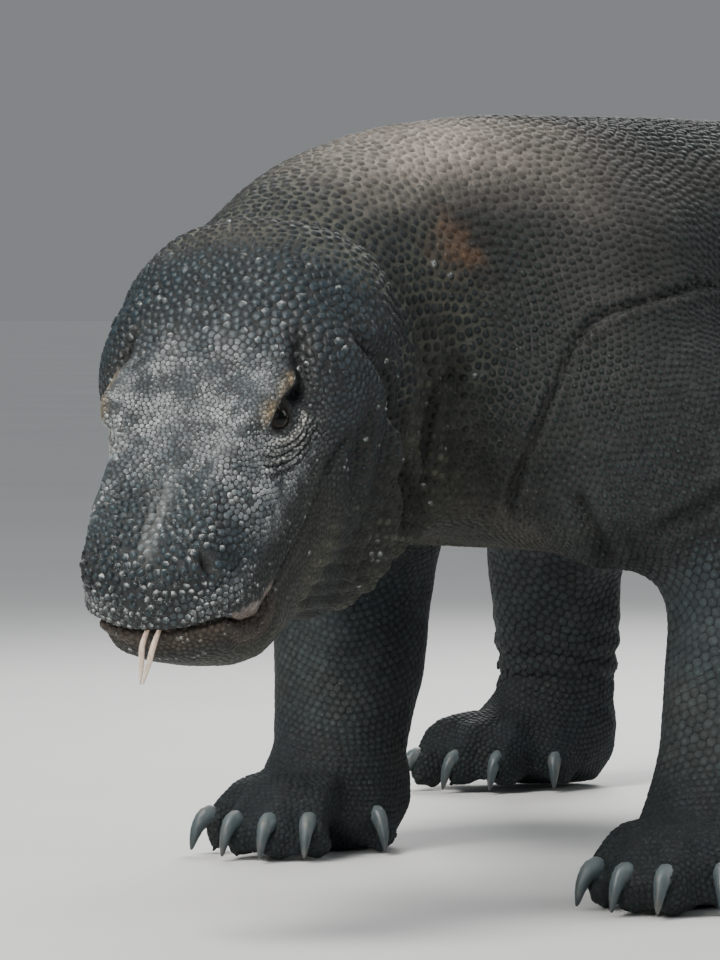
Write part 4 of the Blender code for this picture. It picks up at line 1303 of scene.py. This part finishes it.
def coat_piece(name, d, material):
    """One piece of the coat from the data of its scales, with the OFBake map."""
    count = len(d["root"])
    radii, turn = radii_for(d)
    shape, tilt, faces = scale_shapes(d, radii, turn)
    shape[:, :, 2] = np.maximum(shape[:, :, 2], FLOOR_LEVEL * 0.6)
    circle = np.stack((np.cos(turn), np.sin(turn)), 1)
    local = np.concatenate((circle, circle * 0.66, ((0.0, 0.0),)))
    spread = d["row"] - d["row"].min()
    uv = np.stack((0.01 + 0.98 * d["along"], 0.01 + 0.98 * spread / max(spread.max(), 1)), 1)
    rim = np.tile(np.r_[np.zeros(CORNERS), np.full(CORNERS, 0.72), 1.0], (count, 1))
    rim[:, CORNERS:-1] -= 0.40 * d["net"][:, None]
    colours = {key: np.repeat(d[key][:, None], shape.shape[1], 1)
               for key in ("tint", "edge", "fleck", "gloss")}
    colours.update(rim=rim, white=pale_arcs(d, turn))
    return scale_piece(name, shape, tilt, faces, uv, local, colours, material)


def grow_scales(me, co, tri, shares, masks, flesh, hides):
    """The whole coat, in pieces by the node that each scale grows on."""
    row = get_number(me, "row")
    data = scale_data(Surface(
        co, tri, normal=point_normals(co, tri), row=row, pitch=get_number(me, "pitch"),
        slope=row_slope(co, tri, row, Net(len(co), mesh_edges(me))), shares=shares, **masks))
    node = nodes_of(data["root"], *flesh)
    made = []
    for label, names in PIECES:
        mine = np.where(np.isin(node, [FLESH.index(n) for n in names]))[0]
        mine = mine[np.argsort(data["row"][mine], kind="stable")]
        chunks = max(1, math.ceil(len(mine) / MOST_SCALES))
        for k, part in enumerate(np.array_split(mine, chunks)):
            tag = "scales_" + label + ("" if chunks == 1 else "_" + str(k + 1))
            made.append(coat_piece(tag, {key: value[part] for key, value in data.items()},
                                   hides["face" if label == "head" else "body"]))
    print("scales", len(node), "pieces", len(made), flush=True)
    return made


def radii_for(d):
    """Reach of every corner: to the halfway lines towards the neighbours."""
    x = (d["off"] * d["lie"][:, None]).sum(2)
    y = (d["off"] * d["side"][:, None]).sum(2)
    half = (x * x + y * y) / 2
    turn = np.arange(CORNERS) * 2 * math.pi / CORNERS
    reach = np.repeat((d["size"] * 0.64)[:, None], CORNERS, 1)
    for k, t in enumerate(turn):
        toward = x * math.cos(t) + y * math.sin(t)
        limit = np.where(toward > 1e-6, half / np.maximum(toward, 1e-6), 1e9).min(1)
        reach[:, k] = np.minimum(reach[:, k], limit)
    reach = np.maximum(reach, d["size"][:, None] * 0.20)
    return reach * 0.88 + 0.12 * (np.roll(reach, 1, 1) + np.roll(reach, -1, 1)) / 2, turn


# ---- materials ----------------------------------------------------------------------------
class Look:
    """A procedural material being built."""

    def __init__(self, name):
        self.mat = bpy.data.materials.new(name)
        self.mat.use_nodes = True
        self.tree = self.mat.node_tree
        self.shader = self.tree.nodes["Principled BSDF"]
        self.coords = None

    def add(self, kind, *links, **settings):
        """A node with its settings; links name an input and what feeds it."""
        node = self.tree.nodes.new(kind)
        for key, value in settings.items():
            if key in node.inputs:
                node.inputs[key].default_value = value
            else:
                setattr(node, key, value)
        for key, value in links:
            if isinstance(value, (int, float)):
                node.inputs[key].default_value = value
            elif isinstance(value, tuple):
                node.inputs[key].default_value = value + (1.0,)
            else:
                self.tree.links.new(value, node.inputs[key])
        return node

    def attribute(self, name, output="Fac"):
        return self.add("ShaderNodeAttribute", attribute_name=name).outputs[output]

    def place(self):
        if self.coords is None:
            self.coords = self.add("ShaderNodeTexCoord").outputs["Object"]
        return self.coords

    def noise(self, scale, detail=3.0, rough=0.55, place=None):
        node = self.add("ShaderNodeTexNoise", ("Vector", place or self.place()),
                        Scale=scale, Detail=detail, Roughness=rough)
        return node.outputs["Fac"]

    def cells(self, scale):
        return self.add("ShaderNodeTexVoronoi", ("Vector", self.place()), Scale=scale,
                        feature="DISTANCE_TO_EDGE").outputs["Distance"]

    def spread(self, value, low, high, out_low=0.0, out_high=1.0):
        limits = {"From Min": low, "From Max": high, "To Min": out_low, "To Max": out_high}
        return self.add("ShaderNodeMapRange", ("Value", value), **limits).outputs["Result"]

    def grain(self, scale, detail, *limits):
        """Noise spread between limits."""
        return self.spread(self.noise(scale, detail), *limits)

    def sum_of(self, a, b, how="ADD"):
        return self.add("ShaderNodeMath", (0, a), (1, b), operation=how).outputs[0]

    def blend(self, a, b, share):
        """Colour mix; sockets 6, 7 and 0 are the two colours and the share."""
        return self.add("ShaderNodeMix", (6, a), (7, b), (0, share), data_type="RGBA").outputs[2]

    def stained(self, colour, stain, amount, where):
        """Colour part of the way to a stain, where asked."""
        return self.blend(colour, self.blend(colour, stain, amount), where)

    def bumped(self, height, strength, distance, *under):
        links = [("Height", height)] + [("Normal", normal) for normal in under]
        return self.add("ShaderNodeBump", *links, Strength=strength,
                        Distance=distance).outputs["Normal"]

    def finish(self, colour, rough, normal=None, **constants):
        for key, value in (("Base Color", colour), ("Roughness", rough), ("Normal", normal)):
            if value is not None:
                self.tree.links.new(value, self.shader.inputs[key])
        for key, value in constants.items():
            self.shader.inputs[key.replace("_", " ")].default_value = value
        return self.mat


def flecks(look, colour, density):
    """Whitish flakes of dry skin, scattered by noise and denser where asked."""
    grain = look.sum_of(look.sum_of(look.noise(760.0, 2.0), 0.55, "MULTIPLY"),
                        look.sum_of(look.noise(2100.0, 2.0), 0.45, "MULTIPLY"))
    value = look.sum_of(grain, look.sum_of(density, 0.09, "MULTIPLY"))
    return look.blend(colour, tuple(PALE), look.spread(value, 0.650, 0.690, 0.0, 0.60))


def scale_look(name, gloss, specular):
    """Hide of the scales: pale rim, dark crown with a painted highlight, whitish arcs that are
    partly painted highlight, flecks and dust.
    """
    look = Look(name)
    tint, edge = look.attribute("tint", "Color"), look.attribute("edge", "Color")
    wear_and_highlight = look.sum_of(look.attribute("rim"), look.grain(520.0, 3.0, 0.3, 0.7, -0.14, 0.14))
    colour = look.blend(edge, tint, look.spread(wear_and_highlight, 0.02, 0.34))
    # painted highlight: pale blue-grey tint on each scale's crown
    colour = look.stained(colour, (0.40, 0.46, 0.48), 0.06, look.spread(wear_and_highlight, 0.80, 1.10))
    colour = look.stained(colour, (0.010, 0.011, 0.011), 0.50, look.grain(230.0, 4.0, 0.35, 0.72))
    blot = look.sum_of(look.grain(640.0, 2.0, 0.36, 0.54), look.spread(wear_and_highlight, 0.10, 0.45),
                       "MULTIPLY")
    # whitish arcs: pale dry skin and painted highlight
    colour = look.blend(colour, (0.56, 0.60, 0.58),
                        look.sum_of(look.attribute("white"), blot, "MULTIPLY"))
    colour = flecks(look, colour, look.attribute("fleck"))
    colour = look.blend(colour, (0.085, 0.080, 0.068), look.grain(48.0, 4.0, 0.50, 0.78, 0.0, 0.14))
    rough = look.sum_of(look.grain(340.0, 2.0, 0.3, 0.7, 0.62, 0.84),
                        look.sum_of(look.attribute("gloss"), gloss, "MULTIPLY"), "SUBTRACT")
    bump = look.bumped(look.noise(1500.0, 3.0), 0.30, 0.0004)
    return look.finish(colour, rough, bump, Specular_IOR_Level=specular)


def skin_look():
    """Skin between the scales: fine cells, mottling and flecks; wet inside the lips."""
    look = Look("skin_hide")
    grain = look.cells(900.0)
    colour = look.stained(look.attribute("tint", "Color"), (0.010, 0.010, 0.010), 0.60,
                          look.spread(grain, 0.12, 0.0))
    colour = look.stained(colour, (0.008, 0.008, 0.008), 0.75,
                          look.grain(150.0, 4.0, 0.38, 0.66, 0.0, 0.55))
    colour = flecks(look, colour, look.attribute("fleck"))
    rough = look.sum_of(look.grain(300.0, 2.0, 0.3, 0.7, 0.66, 0.84),
                        look.sum_of(look.attribute("wet"), 0.50, "MULTIPLY"), "SUBTRACT")
    bump = look.bumped(look.spread(grain, 0.0, 0.25), 0.45, 0.0006)
    return look.finish(colour, rough, look.bumped(look.noise(700.0, 3.0), 0.25, 0.0004, bump))


def eye_look():
    look = Look("eye_wet")
    colour = look.stained(look.attribute("tint", "Color"), (0.0, 0.0, 0.0), 0.7,
                          look.grain(1400.0, 3.0, 0.35, 0.70, 0.0, 0.55))
    rough = look.grain(200.0, 1.0, 0.2, 0.8, 0.06, 0.12)
    return look.finish(colour, rough, None, IOR=1.34, Specular_IOR_Level=0.35)


def claw_look():
    look = Look("claw_horn")
    stretch = look.add("ShaderNodeMapping", ("Vector", look.place()), Scale=(1.0, 1.0, 0.25))
    streak = look.noise(260.0, 4.0, 0.5, stretch.outputs["Vector"])
    colour = look.blend((0.075, 0.100, 0.108), (0.026, 0.036, 0.040),
                        look.spread(look.attribute("along"), 0.2, 1.0))
    # lighter on the upper side: painted light from above
    colour = look.blend(colour, (0.15, 0.18, 0.18),
                        look.spread(look.attribute("ridge"), 0.25, 0.95, 0.0, 0.55))
    colour = look.blend(colour, (0.20, 0.17, 0.13), look.spread(streak, 0.52, 0.78, 0.0, 0.5))
    rough = look.spread(streak, 0.3, 0.7, 0.32, 0.50)
    return look.finish(colour, rough, look.bumped(streak, 0.35, 0.0005))


def tongue_look():
    look = Look("tongue_wet")
    colour = look.blend((0.46, 0.33, 0.27), (0.56, 0.48, 0.38),
                        look.spread(look.attribute("along"), 0.25, 0.8))
    colour = look.blend(colour, (0.33, 0.18, 0.15), look.grain(500.0, 3.0, 0.45, 0.75, 0.0, 0.45))
    rough = look.grain(600.0, 2.0, 0.3, 0.7, 0.16, 0.30)
    bump = look.bumped(look.noise(1600.0, 2.0), 0.25, 0.0003)
    return look.finish(colour, rough, bump, Subsurface_Weight=0.15, Subsurface_Scale=0.002)


def floor_look():
    look = Look("studio_floor")
    colour = look.blend((0.74, 0.745, 0.74), (0.80, 0.80, 0.79), look.grain(1.4, 3.0, 0.3, 0.7))
    return look.finish(colour, look.grain(8.0, 2.0, 0.3, 0.7, 0.80, 0.92))


# ---- eyes, claws and tongue ---------------------------------------------------------------
IRIS = (0.014, 0.009, 0.005)
EYE_RINGS = (((0.006, 0.005, 0.004), 22, 34),           # dark rim of the iris
             ((0.0022, 0.0022, 0.0024), 21.5, 19.5),    # pupil
             ((0.030, 0.024, 0.020), 34, 42))           # white of the eye, degrees off the front


def copied_node(node, name, material, levels=2):
    """Rounded copy of a small CAD piece, standing for it."""
    bm = bmesh.new()
    bm.from_mesh(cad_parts[node].data)
    bmesh.ops.remove_doubles(bm, verts=bm.verts, dist=1e-5)
    me = bpy.data.meshes.new(name)
    bm.to_mesh(me)
    bm.free()
    obj = new_object(name, me)
    mod = obj.modifiers.new("round", "SUBSURF")
    mod.levels = mod.render_levels = levels
    done = baked(obj, name)
    done.shade_smooth()
    done.materials.clear()
    done.materials.append(material)
    obj = new_object(name, done)
    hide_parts(node)
    return obj


def make_eye(side, material):
    """Eyeball with a clear bulge, amber-brown iris and round pupil."""
    out, along, tall = eye_axes(side)
    bm = bmesh.new()
    bmesh.ops.create_uvsphere(bm, u_segments=56, v_segments=40, radius=1.0)
    me = bpy.data.meshes.new("eyeball_" + side)
    bm.to_mesh(me)
    bm.free()
    co, _ = mesh_arrays(me)
    ahead = co[:, 2]
    reach = EYE_SIZE * (0.985 + 0.045 * ramp(0.80, 0.98, ahead))
    place = EYES[side] + (co[:, :1] * along + co[:, 1:2] * tall + co[:, 2:] * out) * reach[:, None]
    set_points(me, place)
    me.shade_smooth()
    angle = np.degrees(np.arccos(np.clip(ahead, -1, 1)))
    iris = np.tile(IRIS, (len(co), 1))
    for colour, start, end in EYE_RINGS:
        iris = mix(iris, np.array(colour), ramp(start, end, angle))
    put_colour(me, "tint", iris)
    me.materials.append(material)
    obj = new_object("eyeball_" + side, me)
    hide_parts("eye_" + side)
    return obj


def make_claw(node, material):
    """Claw with fine growth rings towards its root."""
    obj = copied_node(node, "horn_" + node[5:], material)
    me = obj.data
    co, tri = mesh_arrays(me)
    normal = point_normals(co, tri)
    heavy = co - co.mean(0)
    _, axes = np.linalg.eigh(heavy.T @ heavy)
    main = axes[:, 2] * (1.0 if axes[2, 2] < 0 else -1.0)
    t = heavy @ main
    t = (t - t.min()) / max(np.ptp(t), 1e-9)
    put_number(me, "along", t)
    # lighter where the claw faces up: painted light from above
    put_number(me, "ridge", held(normal[:, 2]) * (1 - 0.5 * t))
    co = co + normal * (0.00016 * np.sin(t * 42.0) * (1 - t))[:, None]
    co[:, 2] = np.maximum(co[:, 2], FLOOR_LEVEL * 0.4)
    set_points(me, co)
    return obj


def make_tongue(material):
    obj = copied_node("tongue", "forked_tongue", material)
    co, _ = mesh_arrays(obj.data)
    t = (co[:, 2].max() - co[:, 2]) / max(np.ptp(co[:, 2]), 1e-9)
    put_number(obj.data, "along", t)
    return obj


# ---- studio -------------------------------------------------------------------------------
CAMERA_FROM_SNOUT = Vector((1.9290, -2.0666, 0.1577))
CAMERA_HEADING = math.radians(41.0)
CAMERA_DROP = math.radians(1.741)
CAMERA_LENS = 222.0
LAMPS = (
    # name, stands on, place and aim from there, size, watts, colour, spread in degrees
    ("key", "head", (-0.35, -1.2, 2.1), (-0.02, 0.12, 0.05), (1.0, 1.0), 72.0,
     (1.0, 0.97, 0.93), 180.0),
    ("face", "head", (0.42, -1.00, 0.45), (0.02, 0.05, 0.10), (0.20, 0.20), 0.40,
     (1.0, 0.97, 0.93), 26.0),
    ("top", "head", (0.4, 0.9, 2.2), (0.0, 0.30, 0.10), (1.2, 1.0), 7.0,
     (1.0, 0.985, 0.96), 180.0),
    ("fill", "head", (2.2, -1.0, 0.9), (0.0, 0.3, 0.05), (2.0, 1.4), 9.0,
     (0.90, 0.95, 1.0), 180.0),
    ("rear", "hips", (-1.3, 1.9, 1.5), (0.0, 0.2, -0.1), (1.4, 1.4), 24.0,
     (1.0, 0.99, 0.97), 90.0),
    ("flank", "hips", (1.7, 1.5, 1.1), (0.0, 0.35, -0.1), (1.4, 1.4), 6.0,
     (0.97, 0.985, 1.0), 80.0),
)
FLOOR_HALF = 60.0
WORLD_COLOUR = (0.80, 0.835, 0.87, 1.0)
GLOW = {"From Min": 0.06, "From Max": 0.45, "To Min": 0.285, "To Max": 0.40}   # by height


def soft_light(name, origin, place, target, size, power, colour, spread):
    data = bpy.data.lights.new(name, "AREA")
    data.shape = "RECTANGLE"
    data.size, data.size_y = size
    data.energy, data.color, data.spread = power, colour, math.radians(spread)
    lamp = new_object(name, data, origin + Vector(place))
    aim = Vector(target) - Vector(place)
    lamp.rotation_euler = aim.to_track_quat("-Z", "Y").to_euler()
    lamp.visible_camera = False


def glowing_world():
    """Soft light from all round, stronger overhead than at the level of the floor's far end."""
    world = bpy.data.worlds.new("studio")
    world.use_nodes = True
    tree = world.node_tree
    back = tree.nodes["Background"]
    back.inputs["Color"].default_value = WORLD_COLOUR
    level = tree.nodes.new("ShaderNodeSeparateXYZ")
    tree.links.new(tree.nodes.new("ShaderNodeTexCoord").outputs["Generated"], level.inputs[0])
    glow = tree.nodes.new("ShaderNodeMapRange")
    for key, value in GLOW.items():
        glow.inputs[key].default_value = value
    tree.links.new(level.outputs["Z"], glow.inputs["Value"])
    tree.links.new(glow.outputs["Result"], back.inputs["Strength"])
    return world


def studio():
    """Pale floor, soft lights and the camera at the photograph's angle."""
    scene = bpy.context.scene
    corners = np.array(((-1, -1, 0), (1, -1, 0), (1, 1, 0), (-1, 1, 0)), float) * FLOOR_HALF
    floor = fast_mesh("floor", corners, np.array(((0, 1, 2), (0, 2, 3))))
    floor.materials.append(floor_look())
    new_object("floor", floor)
    scene.world = glowing_world()
    origins = {"head": Vector(SNOUT), "hips": Vector(box_middle("pelvis"))}
    for name, stands_on, *rest in LAMPS:
        soft_light(name, origins[stands_on], *rest)
    data = bpy.data.cameras.new("camera")
    data.lens, data.sensor_width = CAMERA_LENS, 36.0
    data.clip_start, data.clip_end = 0.05, 200.0
    camera = new_object("camera", data, origins["head"] + CAMERA_FROM_SNOUT)
    camera.rotation_euler = (math.radians(90.0) - CAMERA_DROP, 0.0, CAMERA_HEADING)
    scene.camera = camera


# ---- putting it together ------------------------------------------------------------------
def dressed_skin(me, co, tri, shares, masks):
    """The skin as a piece: colours, wetness and flecks, standing for all nodes of flesh."""
    _, gap = markings(co, point_normals(co, tri), shares, masks)
    tint = gap * (1 - 0.3 * of(shares, "head", "jaw")[:, None])
    # the lips' gap: painted shade over the mouth's dark red-brown
    inner = masks["gullet"] * (1 - 0.5 * masks["lining"])
    # near black in the nostril slits and round the eyeballs: painted shade
    hole = held(masks["pit"] * 1.3 + masks["eye"])
    for colour, share in ((NOSE, masks["patch"]), (LINING, masks["lining"]), (GULLET_SHADE, inner),
                          (PIT_SHADE, hole)):
        tint = mix(tint, colour, share)
    put_colour(me, "tint", tint)
    wet = masks["lining"] + masks["gullet"]
    put_number(me, "wet", held(wet))
    bare = 1 - held(wet + masks["eye"] + masks["pit"])
    put_number(me, "fleck", speckles(co, shares) * bare)
    skin = new_object("skin", me)
    me.materials.clear()
    me.materials.append(skin_look())
    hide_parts(*FLESH)
    return skin


def main():
    studio()
    me, co, tri, shares, masks, flesh = sculpted_skin()
    pieces = [(dressed_skin(me, co, tri, shares, masks), "hide")]
    hides = {"face": scale_look("scale_face", 0.32, 0.28),
             "body": scale_look("scale_body", 0.28, 0.24)}
    pieces += [(s, "hide") for s in grow_scales(me, co, tri, shares, masks, flesh, hides)]
    wet, horn = eye_look(), claw_look()
    pieces += [(make_eye(side, wet), "eye") for side in SIDES]
    pieces += [(make_claw(n, horn), "claw") for n in sorted(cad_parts) if n.startswith("claw")]
    pieces.append((make_tongue(tongue_look()), "tongue"))
    for piece, slot in pieces:
        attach(piece, "root")
    print("skin triangles", len(tri), flush=True)
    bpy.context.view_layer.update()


main()
